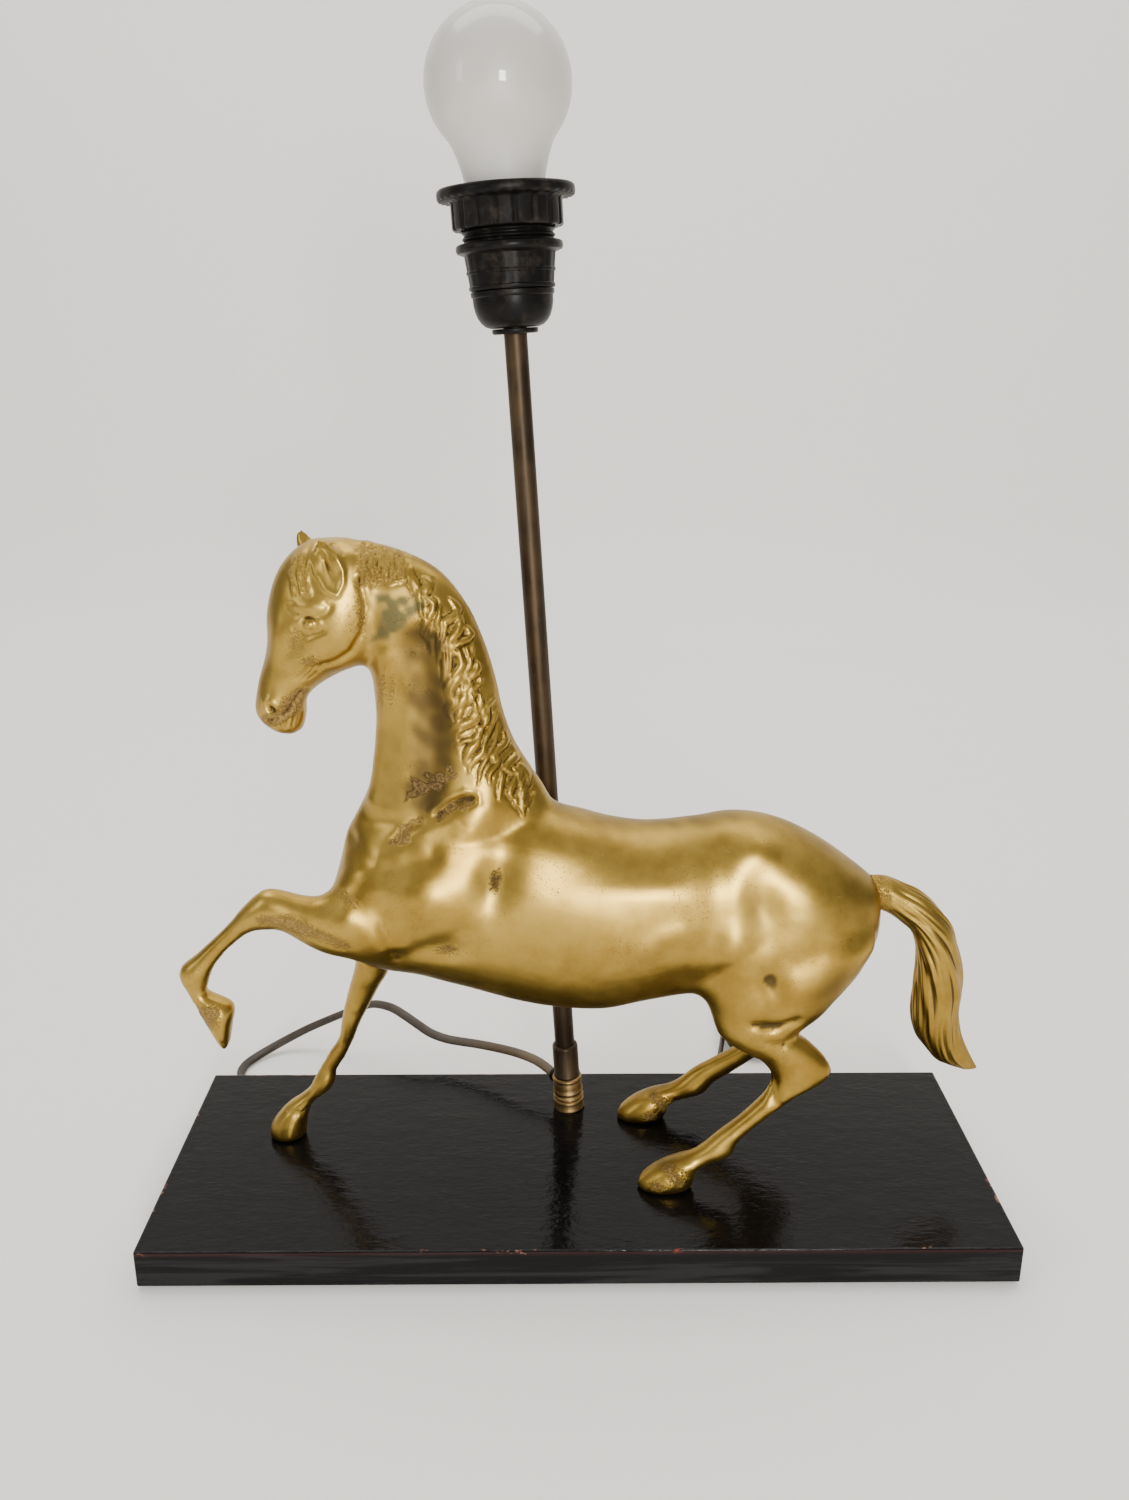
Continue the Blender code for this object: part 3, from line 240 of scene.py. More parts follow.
def spun(profile, steps=96):
    """A closed outline of (radius, height) in mm, turned about Z."""
    bm = bmesh.new()
    corners = [bm.verts.new((radius * MM, 0, height * MM)) for radius, height in profile]
    for number, corner in enumerate(corners):
        after = (number + 1) % len(corners)
        if profile[number][0] or profile[after][0]:
            bm.edges.new((corner, corners[after]))
    bmesh.ops.spin(bm, geom=bm.verts[:] + bm.edges[:], axis=(0, 0, 1), cent=(0, 0, 0),
                   steps=steps, angle=2 * math.pi, use_merge=True)
    return bm


def wrapped(across, along, shape, caps=True):
    """A grid rolled into a closed skin: shape gives the points for shares u round it and
    v along it."""
    bm = bmesh.new()
    bmesh.ops.create_grid(bm, x_segments=across, y_segments=along, size=1, calc_uvs=True)
    bm.verts.ensure_lookup_table()
    flat = np.array([vert.co[:] for vert in bm.verts])
    places = shape((flat[:, 0] + 1) / 2, (flat[:, 1] + 1) / 2)
    for vert, place in zip(bm.verts, places):
        vert.co = place
    bmesh.ops.remove_doubles(bm, verts=bm.verts, dist=0.0005 * MM)
    if caps:
        bmesh.ops.holes_fill(bm, edges=[e for e in bm.edges if e.is_boundary], sides=0)
    bmesh.ops.recalc_face_normals(bm, faces=bm.faces)
    return bm


def curve_through(knots, shares):
    """Catmull-Rom values at shares (0 to 1) of the knots, rows of numbers."""
    knots = np.asarray(knots, float)
    padded = np.vstack([2 * knots[0] - knots[1], knots, 2 * knots[-1] - knots[-2]])
    at = np.clip(np.asarray(shares), 0, 1) * (len(knots) - 1)
    index = np.minimum(at.astype(int), len(knots) - 2)
    t = (at - index)[:, None]
    before, start, end, after = (padded[index + k] for k in range(4))
    return 0.5 * (2 * start + (end - before) * t
                  + (2 * before - 5 * start + 4 * end - after) * t ** 2
                  + (3 * start - before - 3 * end + after) * t ** 3)


def even_path(knots, spacing):
    """Points spacing apart on the smooth curve through the knots."""
    dense = curve_through(knots, np.linspace(0, 1, 16 * len(knots)))
    reach = np.concatenate([[0], np.cumsum(np.linalg.norm(np.diff(dense, axis=0), axis=1))])
    stops = np.linspace(0, reach[-1], max(2, round(reach[-1] / spacing)) + 1)
    return np.stack([np.interp(stops, reach, dense[:, k]) for k in range(3)], axis=1)


def smoothstep(value, low, high):
    t = np.clip((value - low) / (high - low), 0, 1)
    return t * t * (3 - 2 * t)


# ---------------------------------------------------------------- camera, light, stage

def aim(obj, target):
    way = Vector(target) - obj.location
    obj.rotation_euler = way.to_track_quat("-Z", "Y").to_euler()


def build_camera():
    lens = bpy.data.cameras.new("camera")
    lens.lens = 30.0
    lens.sensor_width = 36.0
    lens.sensor_fit = "AUTO"
    lens.clip_start = 0.02
    camera = bpy.data.objects.new("camera", lens)
    camera.location = CAMERA_PLACE
    camera.rotation_euler = (math.pi / 2 - CAMERA_TILT, 0, -CAMERA_TURN)
    bpy.context.collection.objects.link(camera)
    bpy.context.scene.camera = camera


def area_light(name, place, target, width, height, power, colour):
    light = bpy.data.lights.new(name, "AREA")
    light.shape = "RECTANGLE"
    light.size = width
    light.size_y = height
    light.energy = power
    light.color = colour
    obj = bpy.data.objects.new(name, light)
    obj.location = place
    bpy.context.collection.objects.link(obj)
    aim(obj, target)


# The soft lamps: name, place, target, width, height, power and colour
LAMP_TARGET = (0.0, 0.0, 0.2)
SOFT_LAMPS = [
    ("window", (0.24, -1.70, 0.50), LAMP_TARGET, 0.30, 0.42, 27, (1, 0.98, 0.95)),
    ("left_panel", (-1.20, -0.70, 0.70), LAMP_TARGET, 0.25, 0.6, 3, (0.97, 0.98, 1.0)),
    ("ceiling_panel", (0.0, 0.45, 2.0), (0, 0.75, 0.2), 2.6, 0.9, 34, (1, 0.98, 0.95)),
]
# The room's own light: the direction's Z where it starts and ends rising, and its strengths
SKY_RISE = (-0.1, 1.0)
SKY_STRENGTH = (0.20, 0.62)
# How the wall grows from the floor's back edge: rise and way back, in metres
WALL_STEPS = ((0.02, 0.09), (0.07, 0.07), (0.09, 0.02), (2.2, 0.0))


def build_room():
    """A pale sweep of floor and wall, and soft lamps around."""
    paint_finish = Finish("pale_paint", (0.80, 0.775, 0.745), 0.7, Emission_Strength=0.24,
                          Emission_Color=(1.0, 0.965, 0.92, 1))
    bm = bmesh.new()
    bmesh.ops.create_grid(bm, x_segments=1, y_segments=1, size=2.2)
    back = [e for e in bm.edges if all(v.co.y > 2 for v in e.verts)]
    bmesh.ops.translate(bm, verts=[v for e in back for v in e.verts], vec=(0, -1.3, 0))
    for rise, away in WALL_STEPS:
        grown = bmesh.ops.extrude_edge_only(bm, edges=back)["geom"]
        back = [item for item in grown if isinstance(item, bmesh.types.BMEdge)]
        verts = {v for e in back for v in e.verts}
        bmesh.ops.translate(bm, verts=list(verts), vec=(0, away, rise))
    room = piece("room", bm, paint_finish, body=None, smooth=180)

    world = bpy.data.worlds.new("room_light")
    world.use_nodes = True
    sky = world.node_tree
    where = sky.nodes.new("ShaderNodeTexCoord")
    parts = sky.nodes.new("ShaderNodeSeparateXYZ")
    shade = sky.nodes.new("ShaderNodeMapRange")
    shade.interpolation_type = "SMOOTHSTEP"
    for socket, (low, high) in (("From", SKY_RISE), ("To", SKY_STRENGTH)):
        shade.inputs[socket + " Min"].default_value = low
        shade.inputs[socket + " Max"].default_value = high
    sky.links.new(where.outputs["Generated"], parts.inputs["Vector"])
    sky.links.new(parts.outputs["Z"], shade.inputs["Value"])
    sky.links.new(shade.outputs["Result"], sky.nodes["Background"].inputs["Strength"])
    sky.nodes["Background"].inputs["Color"].default_value = (1.0, 0.98, 0.95, 1)
    bpy.context.scene.world = world
    for lamp in SOFT_LAMPS:
        area_light(*lamp)


# ---------------------------------------------------------------- the flex and its plug

# From the stem's foot, over the board's back edge and along behind the board to the hank
LEAD_ROUTE = [
    FLEX_EXIT,
    (-0.0155, 0.0517, 0.0354), (-0.0208, 0.0562, 0.0366), (-0.0279, 0.0606, 0.0373),
    (-0.0357, 0.0655, 0.0369), (-0.0441, 0.0710, 0.0357), (-0.0532, 0.0760, 0.0346),
    (-0.0627, 0.0800, 0.0338), (-0.0709, 0.0830, 0.0338), (-0.0795, 0.0868, 0.0352),
    (-0.0876, 0.0918, 0.0381), (-0.0950, 0.0975, 0.0402), (-0.1025, 0.1040, 0.0410),
    (-0.1103, 0.1100, 0.0398), (-0.1160, 0.1140, 0.0376), (-0.1248, 0.1195, 0.0321),
    (-0.1350, 0.1240, 0.0256), (-0.1460, 0.1270, 0.0192), (-0.1568, 0.1280, 0.0135),
    (-0.1670, 0.1265, 0.0085), (-0.1762, 0.1225, 0.0048), (-0.1838, 0.1155, 0.0030),
    (-0.1886, 0.1070, 0.0026), (-0.1890, 0.0975, 0.0026), (-0.1845, 0.0890, 0.0026),
    (-0.1765, 0.0835, 0.0026), (-0.1650, 0.0805, 0.0026), (-0.1400, 0.0790, 0.0026),
    (-0.1050, 0.0795, 0.0026), (-0.0650, 0.0805, 0.0026), (-0.0250, 0.0800, 0.0026),
    (0.0100, 0.0795, 0.0026), (0.0400, 0.0800, 0.0026), (0.0600, 0.0830, 0.0028),
    (0.0735, 0.0890, 0.0031), (0.0812, 0.0990, 0.0034),
]
HANK = Matrix.Translation((0.1135, 0.169, 0)) @ Matrix.Rotation(math.radians(-9), 4, "Z")
HANK_LOW = 1.1                       # mm, underside of the lower layer
HANK_STRAIGHT = 37.5                 # mm, half of a turn's straight run
# Half width of each turn and the layer it lies in
HANK_TURNS = [(18.4, 0), (15.1, 0), (11.8, 0), (15.1, 1), (18.4, 1)]
LEAD_ROLL = 32                       # degrees the flex leans where it leaves the stem
EDGE_REACH = (0.215, 0.30)           # metres along it where it turns up on edge
FLAT_AGAIN = (0.075, 0.02)           # metres before its end where it turns flat again
PLUG_MIDDLE = 18.65                  # mm above the table
PLUG_BACK = 12.0                     # mm along the hank from its middle


def hank_point(x, y, z):
    return tuple(HANK @ Vector((x * MM, y * MM, z * MM)))


def hank_route():
    """The flex's turns round the hank, on edge, then over the tie to the plug."""
    def layer_height(layer):
        return HANK_LOW + FLEX_WIDTH / MM * (layer + 0.5) + 0.1 * layer
    knots = []
    steps = 20
    for number, (half, layer) in enumerate(HANK_TURNS):
        last = number == len(HANK_TURNS) - 1
        after, next_layer = (half, layer) if last else HANK_TURNS[number + 1]
        for step in range(steps):
            share = step / steps
            widen = half + (after - half) * smoothstep(share, 0.72, 0.98)
            rise = smoothstep(share, 0.42, 0.66)
            z = layer_height(layer) + (layer_height(next_layer) - layer_height(layer)) * rise
            if share < 0.25:
                x, y = -widen, HANK_STRAIGHT * (8 * share - 1)
            elif share < 0.5:
                angle = math.pi * (1 - (share - 0.25) * 4)
                x, y = widen * math.cos(angle), HANK_STRAIGHT + widen * math.sin(angle)
            elif share < 0.75:
                x, y = widen, HANK_STRAIGHT * (1 - 8 * (share - 0.5))
            else:
                angle = -math.pi * (share - 0.75) * 4
                x, y = widen * math.cos(angle), -HANK_STRAIGHT + widen * math.sin(angle)
            knots.append(hank_point(x, y, z))
    for x, y, z in ((-18.4, -36, 9.0), (-17.2, -24, 9.9), (-14.0, -17, 12.2), (-9.6, -11, 14.6),
                    (-5.2, -5.5, 16.3), (-1.6, 0.5, 17.7), (-0.2, 6.5, 18.5),
                    (0, PLUG_BACK + 2, PLUG_MIDDLE)):
        knots.append(hank_point(x, y, z))
    return knots


def turned_frames(path, roll):
    """Across and over directions along a path; roll turns them from flat (0) to on edge."""
    forward = np.gradient(path, axis=0)
    forward /= np.linalg.norm(forward, axis=1)[:, None]
    side = np.cross(forward, (0, 0, 1.0))
    side /= np.linalg.norm(side, axis=1)[:, None]
    over = np.cross(side, forward)
    across = side * np.cos(roll)[:, None] + over * np.sin(roll)[:, None]
    up = over * np.cos(roll)[:, None] - side * np.sin(roll)[:, None]
    return across, up


def flex_section(turn):
    """Two round cores side by side under one flat skin; turn goes round it from 0 to 1."""
    angle = 2 * np.pi * turn
    waist = 1 - 0.10 * np.exp(-(np.cos(angle) / 0.22) ** 2)
    flat = np.abs(np.cos(angle)) ** 0.8 * np.sign(np.cos(angle))
    return flat * FLEX_WIDTH / 2, np.sin(angle) * FLEX_THICKNESS / 2 * waist


def build_flex():
    """One skin from the stem's foot to the plug, and the path down its middle."""
    finish = Finish("flex", (0.10, 0.072, 0.045), 0.42, Specular_IOR_Level=0.4)
    tone = finish.noise(55, 3, 0.6)
    near_stem = finish.step(finish.axis("X"), -0.10, -0.02) * finish.step(
        finish.axis("Y"), 0.085, 0.070)
    finish.set("Base Color", finish.blend(
        finish.step(tone, 0.35, 0.7),
        finish.blend(near_stem, (0.034, 0.025, 0.017), (0.066, 0.045, 0.021)),
        finish.blend(near_stem, (0.052, 0.040, 0.028), (0.095, 0.068, 0.034))))
    finish.set("Roughness", 0.34 + 0.22 * finish.noise(240, 3))
    finish.relief((finish.noise(900, 2), 0.25, 0.0001), (tone, 0.3, 0.0004))

    path = even_path(LEAD_ROUTE + hank_route(), 2.2 * MM)
    reach = np.concatenate([[0], np.cumsum(np.linalg.norm(np.diff(path, axis=0), axis=1))])
    on_edge = smoothstep(reach, *EDGE_REACH)
    before_plug = 1 - smoothstep(reach, reach[-1] - FLAT_AGAIN[0], reach[-1] - FLAT_AGAIN[1])
    roll = math.radians(LEAD_ROLL) + math.radians(90 - LEAD_ROLL) * on_edge * before_plug
    across, up = turned_frames(path, roll)
    rings = len(path) - 1

    def skin(turn, along):
        row = np.rint(along * rings).astype(int)
        wide, high = flex_section(turn)
        return path[row] + across[row] * wide[:, None] + up[row] * high[:, None]

    bm = wrapped(20, rings, skin)
    flex = piece("flex_cord", bm, finish, smooth=180,
                 replaces=("cord_lead", "cord_hank", "cord_tail"))
    return flex, path


def build_plug():
    """A flat two-pin plug: a moulded body with grip ribs and a ringed strain relief."""
    finish = Finish("plug_plastic", (0.012, 0.011, 0.010), 0.38, Specular_IOR_Level=0.5)
    finish.set("Roughness", 0.30 + 0.25 * finish.noise(160, 4))
    finish.relief((finish.noise(1100, 2), 0.2, 0.00008))
    bm = bmesh.new()
    half = 17.65
    end = PLUG_BACK + 36
    thick = 13.7
    outline = [(-half, end), (-half, end - 12), (-15.4, end - 20), (-9.0, PLUG_BACK + 7),
               (-5.4, PLUG_BACK + 4), (-4.6, PLUG_BACK), (4.6, PLUG_BACK), (5.4, PLUG_BACK + 4),
               (9.0, PLUG_BACK + 7), (15.4, end - 20), (half, end - 12), (half, end)]
    low = PLUG_MIDDLE - thick / 2
    face = bm.faces.new([bm.verts.new((x * MM, y * MM, low * MM)) for x, y in outline])
    raised = bmesh.ops.extrude_face_region(bm, geom=[face])["geom"]
    top = [item for item in raised if isinstance(item, bmesh.types.BMVert)]
    bmesh.ops.translate(bm, verts=top, vec=(0, 0, thick * MM))
    tall = [e for e in bm.edges if abs(e.verts[0].co.z - e.verts[1].co.z) > MM]
    rounding = {"affect": "EDGES", "segments": 4, "profile": 0.5, "material": -1,
                "clamp_overlap": True}
    bmesh.ops.bevel(bm, geom=tall, offset=2.6 * MM, **rounding)
    for z in (low * MM, (low + thick) * MM):
        rim = [e for e in bm.edges if all(abs(v.co.z - z) < 1e-6 for v in e.verts)]
        bmesh.ops.bevel(bm, geom=rim, offset=2.0 * MM, **rounding)
    for number in range(5):
        for side in (-1, 1):
            ridge = bmesh.ops.create_cube(bm, size=1)["verts"]
            bmesh.ops.scale(bm, verts=ridge, vec=(17 * MM, 1.1 * MM, 0.6 * MM))
            bmesh.ops.translate(bm, verts=ridge, vec=(
                0, (end - 19 + number * 2.6) * MM, (PLUG_MIDDLE + side * (thick / 2 - 0.1)) * MM))
    plug = piece("plug_shell", bm, finish, replaces=("plug_body",),
                 matrix=HANK)
    soften(plug, 0.25 * MM)

    relief = spun([(3.3, 0), (4.3, 0), (4.3, 1.6), (3.6, 2.0), (3.6, 2.8), (4.2, 3.2), (4.2, 4.6),
                   (3.3, 5.0), (3.3, 5.8), (3.9, 6.2), (3.9, 7.4), (3.1, 8.0), (2.4, 8.0)], 32)
    way = (Matrix.Translation((0, (PLUG_BACK + 0.5) * MM, PLUG_MIDDLE * MM))
           @ Matrix.Rotation(math.pi / 2, 4, "X") @ Matrix.Diagonal((1.0, 0.78, 1, 1)))
    sleeve = piece("plug_strain_relief", relief, finish, matrix=HANK @ way)
    soften(sleeve, 0.2 * MM)
    return [plug, sleeve]


def build_tie():
    """A strip of coated paper round the hank, its corners rounded; its twisted ends are not drawn.
    """
    finish = Finish("paper_tie", (0.30, 0.24, 0.16), 0.75)
    finish.set("Base Color", finish.blend(finish.noise(320, 4), (0.20, 0.155, 0.10),
                                          (0.38, 0.31, 0.21)))
    finish.relief((finish.noise(1500, 3), 0.5, 0.0001))
    half_x = 21.7
    half_z = 6.1
    half_width = 4.4
    half_thickness = 0.35
    corner = 4.0
    middle = 6.3
    tall = 14

    def strip(turn, along):
        angle = 2 * np.pi * along
        x = np.clip(np.cos(angle) * (half_x + corner), -half_x + corner, half_x - corner)
        z = np.clip(np.sin(angle) * tall, -half_z + corner, half_z - corner)
        out = np.stack([np.cos(angle) * (half_x + corner) - x, np.sin(angle) * tall - z], axis=1)
        out /= np.maximum(np.linalg.norm(out, axis=1), 1e-6)[:, None]
        round_it = 2 * np.pi * turn
        thick = corner + half_thickness * np.sin(round_it)
        return np.stack([x + out[:, 0] * thick, half_width * np.cos(round_it),
                         middle + z + out[:, 1] * thick], axis=1) * MM

    bm = wrapped(16, 96, strip, caps=False)
    return piece("cord_tie_strip", bm, finish, replaces=("cord_tie",),
                 matrix=HANK)


# ---------------------------------------------------------------- the horse

# Outline stations in mm: (x, z) on one edge, (x, z) on the opposite edge, the section's
# middle y and its half width.
TORSO = [
    ((-109, 170), (-111, 152), 0, 11), ((-103, 187), (-107, 134), 0, 21),
    ((-90, 200), (-96, 123), 0, 26.5), ((-68, 206), (-75, 120), 0, 29.5),
    ((-45, 208), (-52, 114), 0, 30), ((-24, 206), (-30, 107), 0, 29.5),
    ((-6, 201), (-8, 103), 0, 30), ((12, 195.5), (12, 102.5), 0, 31),
    ((31, 193), (32, 107), 0, 31), ((52, 195), (53, 110), 0, 30),
    ((73, 197.5), (74, 111), 0, 30), ((91, 194), (92, 111), 0, 30),
    ((109, 185), (110, 113), 0, 28), ((125, 173.5), (124, 119), 0, 23),
    ((135, 165), (133, 128), 0, 15), ((138, 159), (137, 138), 0, 8),
]
NECK = [
    ((-108, 174), (-8, 192), 0, 24), ((-105, 187), (-13, 207), 0, 22),
    ((-98, 200), (-21, 220), 0, 19.5), ((-92.5, 212), (-28, 232), 0, 17.5),
    ((-89.5, 226), (-32.5, 245), 0, 16), ((-88, 240), (-35.5, 259), 0, 15),
    ((-88, 252), (-40, 275), 0, 14.5), ((-89.5, 263), (-47, 292), 0, 14.5),
    ((-93, 271), (-58, 306), 0, 14), ((-100, 281), (-72, 314), 0, 12.5),
    ((-106, 290), (-90, 319.5), 0, 10),
]
HEAD = [
    ((-111, 320), (-95, 320), 0, 5), ((-118, 316), (-82, 314), 0, 12),
    ((-125, 308.5), (-76, 303), 0, 15.5), ((-129.5, 299), (-77, 290), 0, 17),
    ((-132, 288), (-82, 277), 0, 17.2), ((-132.5, 278), (-91, 267.5), 0, 16.2),
    ((-134, 270), (-101, 263.5), 0, 14), ((-137, 261), (-111, 258), 0, 12),
    ((-139, 253), (-117, 252), 0, 10.8), ((-140, 247), (-118, 244.5), 0, 10.5),
    ((-138, 242), (-120, 238), 0, 9.5), ((-133, 238), (-124, 235.5), 0, 6),
]
EAR_LEFT = [
    ((-103, 300), (-98, 301.5), -12.0, 2.8), ((-107, 308), (-96, 308), -12.8, 3.2),
    ((-108, 315), (-97, 314.5), -12.2, 2.8), ((-107.5, 321), (-102.5, 319.8), -10.5, 1.2),
]
EAR_RIGHT = [
    ((-117, 303), (-105, 304), 9.5, 3.2), ((-118.5, 311), (-107, 312), 10.5, 4.0),
    ((-120, 316), (-112, 317), 10.5, 2.8), ((-119.6, 321.6), (-116.5, 321.9), 10.5, 1.0),
]
FORELEG_LEFT = [
    ((-92, 177), (-82, 130), -16, 13.5), ((-106, 171), (-98, 134), -18.5, 13),
    ((-114, 166.5), (-108, 138), -20, 11.3), ((-122, 167), (-117, 142.5), -20.5, 9.6),
    ((-129, 169), (-124.5, 147), -20.5, 8.2), ((-136.5, 170), (-131, 150.8), -20.5, 7.6),
    ((-142.5, 166.5), (-138.5, 151.2), -20.5, 6.6), ((-149, 160), (-144.5, 150), -20.3, 5.2),
    ((-155.5, 152.5), (-150.5, 146), -20, 4.4), ((-163, 145), (-157.5, 139.5), -19.8, 4.3),
    ((-170.5, 138), (-162.5, 133), -19.6, 4.9), ((-177, 132.5), (-164.5, 129), -19.4, 5.6),
    ((-178.5, 127), (-166, 124.5), -19.2, 5.4), ((-176, 121), (-167, 119), -19, 4.7),
    ((-173.5, 114.5), (-161.5, 116.5), -19, 5.8), ((-170, 106), (-155.5, 112), -18.8, 7.2),
    ((-165.5, 96.5), (-157, 103.5), -18.6, 7.0), ((-161.5, 89.5), (-159, 94), -18.5, 4.6),
]
FORELEG_RIGHT = [
    ((-98, 152), (-68, 152), 16.5, 13.5), ((-104, 131), (-81, 131), 16.5, 12.5),
    ((-106, 115), (-89, 113), 16.2, 9.5), ((-109.5, 103), (-95, 103), 16, 7.2),
    ((-112.5, 92), (-100.5, 92.5), 16, 6.2), ((-114.5, 83), (-105, 83.5), 16, 5.8),
    ((-116, 75), (-108.5, 75), 16, 4.5), ((-121, 67), (-113, 65.5), 16, 4.0),
    ((-126, 58.5), (-118, 57), 16, 4.1), ((-130, 51.5), (-118.5, 52), 16, 5.2),
    ((-132.5, 46.5), (-122, 46), 16, 5.4), ((-137.5, 42), (-128, 41.5), 16, 4.7),
    ((-143, 38), (-131.5, 37), 16, 5.8), ((-149, 31.5), (-133.5, 31.5), 16.2, 7.6),
    ((-153, 25), (-134.5, 25.5), 16.4, 8.8), ((-153.3, 20.3), (-135.5, 20.3), 16.5, 9.0),
]
HIND_LEG_LEFT = [
    ((64, 162), (124, 158), -15.5, 14), ((56, 141), (133, 147), -16.5, 15),
    ((54.5, 126), (130, 130), -17.5, 15), ((57.5, 112), (118, 114), -19, 13.5),
    ((62, 101), (105, 104), -20.5, 11), ((68.5, 94), (100, 99), -21.5, 9.3),
    ((77, 89), (104.5, 95.5), -22.5, 7.6), ((84, 85), (111, 89.5), -23.3, 6.6),
    ((88.3, 78.5), (115.8, 82), -24, 6.1), ((86.5, 71), (113, 76), -24.4, 5.7),
    ((80, 62.5), (101, 68.5), -24.7, 5.0), ((72, 54.5), (85.5, 55.5), -25, 4.5),
    ((64, 48), (75, 45), -25.3, 4.9), ((57.5, 42), (71.5, 37.5), -25.6, 5.7),
    ((52, 38.5), (61.5, 33), -25.8, 5.1), ((44.5, 35.5), (55.5, 29.5), -26, 6.8),
    ((36.5, 31.5), (55, 25.5), -26, 8.1), ((29.5, 25.5), (54, 22.5), -26, 8.4),
    ((27.5, 20.3), (52.5, 20.3), -26, 7.8),
]
HIND_LEG_RIGHT = [
    ((64, 162), (124, 158), 15.5, 14), ((56, 141), (133, 147), 16.5, 15),
    ((56, 126), (130, 130), 17.5, 15), ((60, 112), (118, 114), 19.5, 13.5),
    ((64, 101), (106, 103), 21.5, 11), ((70, 93), (101, 97), 23, 9.3),
    ((79, 86.5), (106, 91.5), 24.5, 7.6), ((85.5, 80), (111.5, 84), 25.7, 6.6),
    ((87, 72), (113, 76), 26.6, 6.1), ((84, 65.5), (108, 68.5), 27.2, 5.6),
    ((76.5, 59.5), (95, 60.5), 27.8, 4.9), ((67, 54), (80.5, 49), 28.3, 4.6),
    ((58.5, 48.5), (70.5, 42), 28.7, 4.9), ((51, 41.5), (64.5, 35), 29, 5.7),
    ((45.5, 38.8), (54.5, 31.5), 29.2, 5.1), ((38.5, 36.5), (48, 28.5), 29.3, 6.8),
    ((30, 32.5), (46.5, 24.5), 29.4, 8.0), ((22.5, 26), (45.5, 22.3), 29.5, 8.4),
    ((20.5, 20.3), (44.5, 20.3), 29.5, 7.8),
]
TAIL = [
    ((133.5, 167), (134.5, 152), 0, 5.8), ((140.5, 166.5), (141.5, 149), 0, 6.9),
    ((148.5, 163), (147.5, 145), 0, 7.4), ((156.5, 159), (153, 140.5), 0, 8.2),
    ((165, 151.5), (156.5, 133), 0, 9), ((172.5, 141), (158, 122.5), 0, 9.6),
    ((177.5, 126), (157.5, 111), 0, 9.8), ((180, 112), (157.5, 99), 0, 9.4),
    ((179.5, 99), (160, 87), 0, 8.4), ((181, 89), (165.5, 78.5), 0, 7),
    ((185, 79), (173, 71), 0, 5), ((191.5, 67), (184, 66.3), 0, 1.6),
]
SKIN_CELL = 1.65 * MM                # the size of the casting skin's faces
SOLE = 20.3                          # mm, the hooves' flat undersides
FAIR = (0.55, -0.57)                 # pull and push that smooth without shrinking
# Where one casting form runs into another, in mm: (x, z)
SEAMS = [
    [(-108, 176), (-85, 200), (-60, 212), (-34, 210), (-10, 200)],
    [(-92, 268), (-100, 278), (-108, 292)], [(-96, 172), (-98, 150), (-92, 132)],
    [(-104, 165), (-100, 140)], [(60, 150), (75, 165), (105, 165), (126, 152)],
    [(55, 120), (62, 112)], [(128, 130), (118, 115)], [(-96, 126), (-76, 124)],
]

# Places on the horse's side, in mm: (x, z)
CREST_ROOTS = [(-96, 318), (-86, 317), (-74, 314), (-63, 307), (-54, 298), (-47, 288),
               (-42, 276), (-38, 264), (-35, 252), (-32, 241), (-29, 231), (-24, 221), (-17, 212)]
LOCK_TIPS = [(-92, 304), (-84, 300), (-75, 302), (-67, 299), (-63, 288), (-61, 277), (-56, 268),
             (-53, 256), (-52, 245), (-51, 234), (-46, 226), (-37, 219), (-24, 207)]


def lofted(stations, across, along):
    """A closed skin over ellipse sections through the stations."""
    knots = [[x_a, z_a, x_b, z_b, y, half] for (x_a, z_a), (x_b, z_b), y, half in stations]

    def shape(turn, reach):
        row = curve_through(knots, reach)
        angle = 2 * np.pi * turn
        middle = (row[:, 0:2] + row[:, 2:4]) / 2
        radius = (row[:, 0:2] - row[:, 2:4]) / 2 * np.cos(angle)[:, None]
        return np.stack([middle[:, 0] + radius[:, 0], row[:, 4] + row[:, 5] * np.sin(angle),
                         middle[:, 1] + radius[:, 1]], axis=1) * MM

    return wrapped(across, along, shape)


def smoothed(points, edges, rounds, pull, push=0.0):
    """Points moved towards their neighbours' mean, rounds times; push undoes the shrinking."""
    count = np.bincount(edges.ravel(), minlength=len(points))[:, None]
    for _ in range(rounds):
        for amount in (pull, push) if push else (pull,):
            total = np.zeros_like(points)
            for k in range(3):
                total[:, k] = (np.bincount(edges[:, 0], points[edges[:, 1], k], len(points))
                               + np.bincount(edges[:, 1], points[edges[:, 0], k], len(points)))
            points = points + (total / count - points) * amount
    return points


def edges_of(mesh):
    flat = np.empty(len(mesh.edges) * 2, dtype=np.int32)
    mesh.edges.foreach_get("vertices", flat)
    return flat.reshape(-1, 2)


def line_gap(x, z, line):
    """Distance in the side view to a line of points, and how far along it from 0 to 1."""
    line = np.asarray(line, float)
    gap = np.full(len(x), 1e9)
    along = np.zeros(len(x))
    for number, (start, end) in enumerate(zip(line, line[1:])):
        way = end - start
        t = np.clip(((x - start[0]) * way[0] + (z - start[1]) * way[1]) / (way @ way), 0, 1)
        here = np.hypot(x - start[0] - t * way[0], z - start[1] - t * way[1])
        nearer = here < gap
        gap = np.where(nearer, here, gap)
        along = np.where(nearer, (number + t) / (len(line) - 1), along)
    return gap, along


def near_line(x, z, line, width):
    """1 on a line in the side view, fading away over about width mm."""
    gap, _ = line_gap(x, z, line)
    return np.exp(-(gap / width) ** 2)


def sunk(points, normals, edges, rounds):
    """How far in mm the points lie below the smoothed surface round them."""
    return np.einsum("ij,ij->i", smoothed(points, edges, rounds, 0.6) - points, normals)


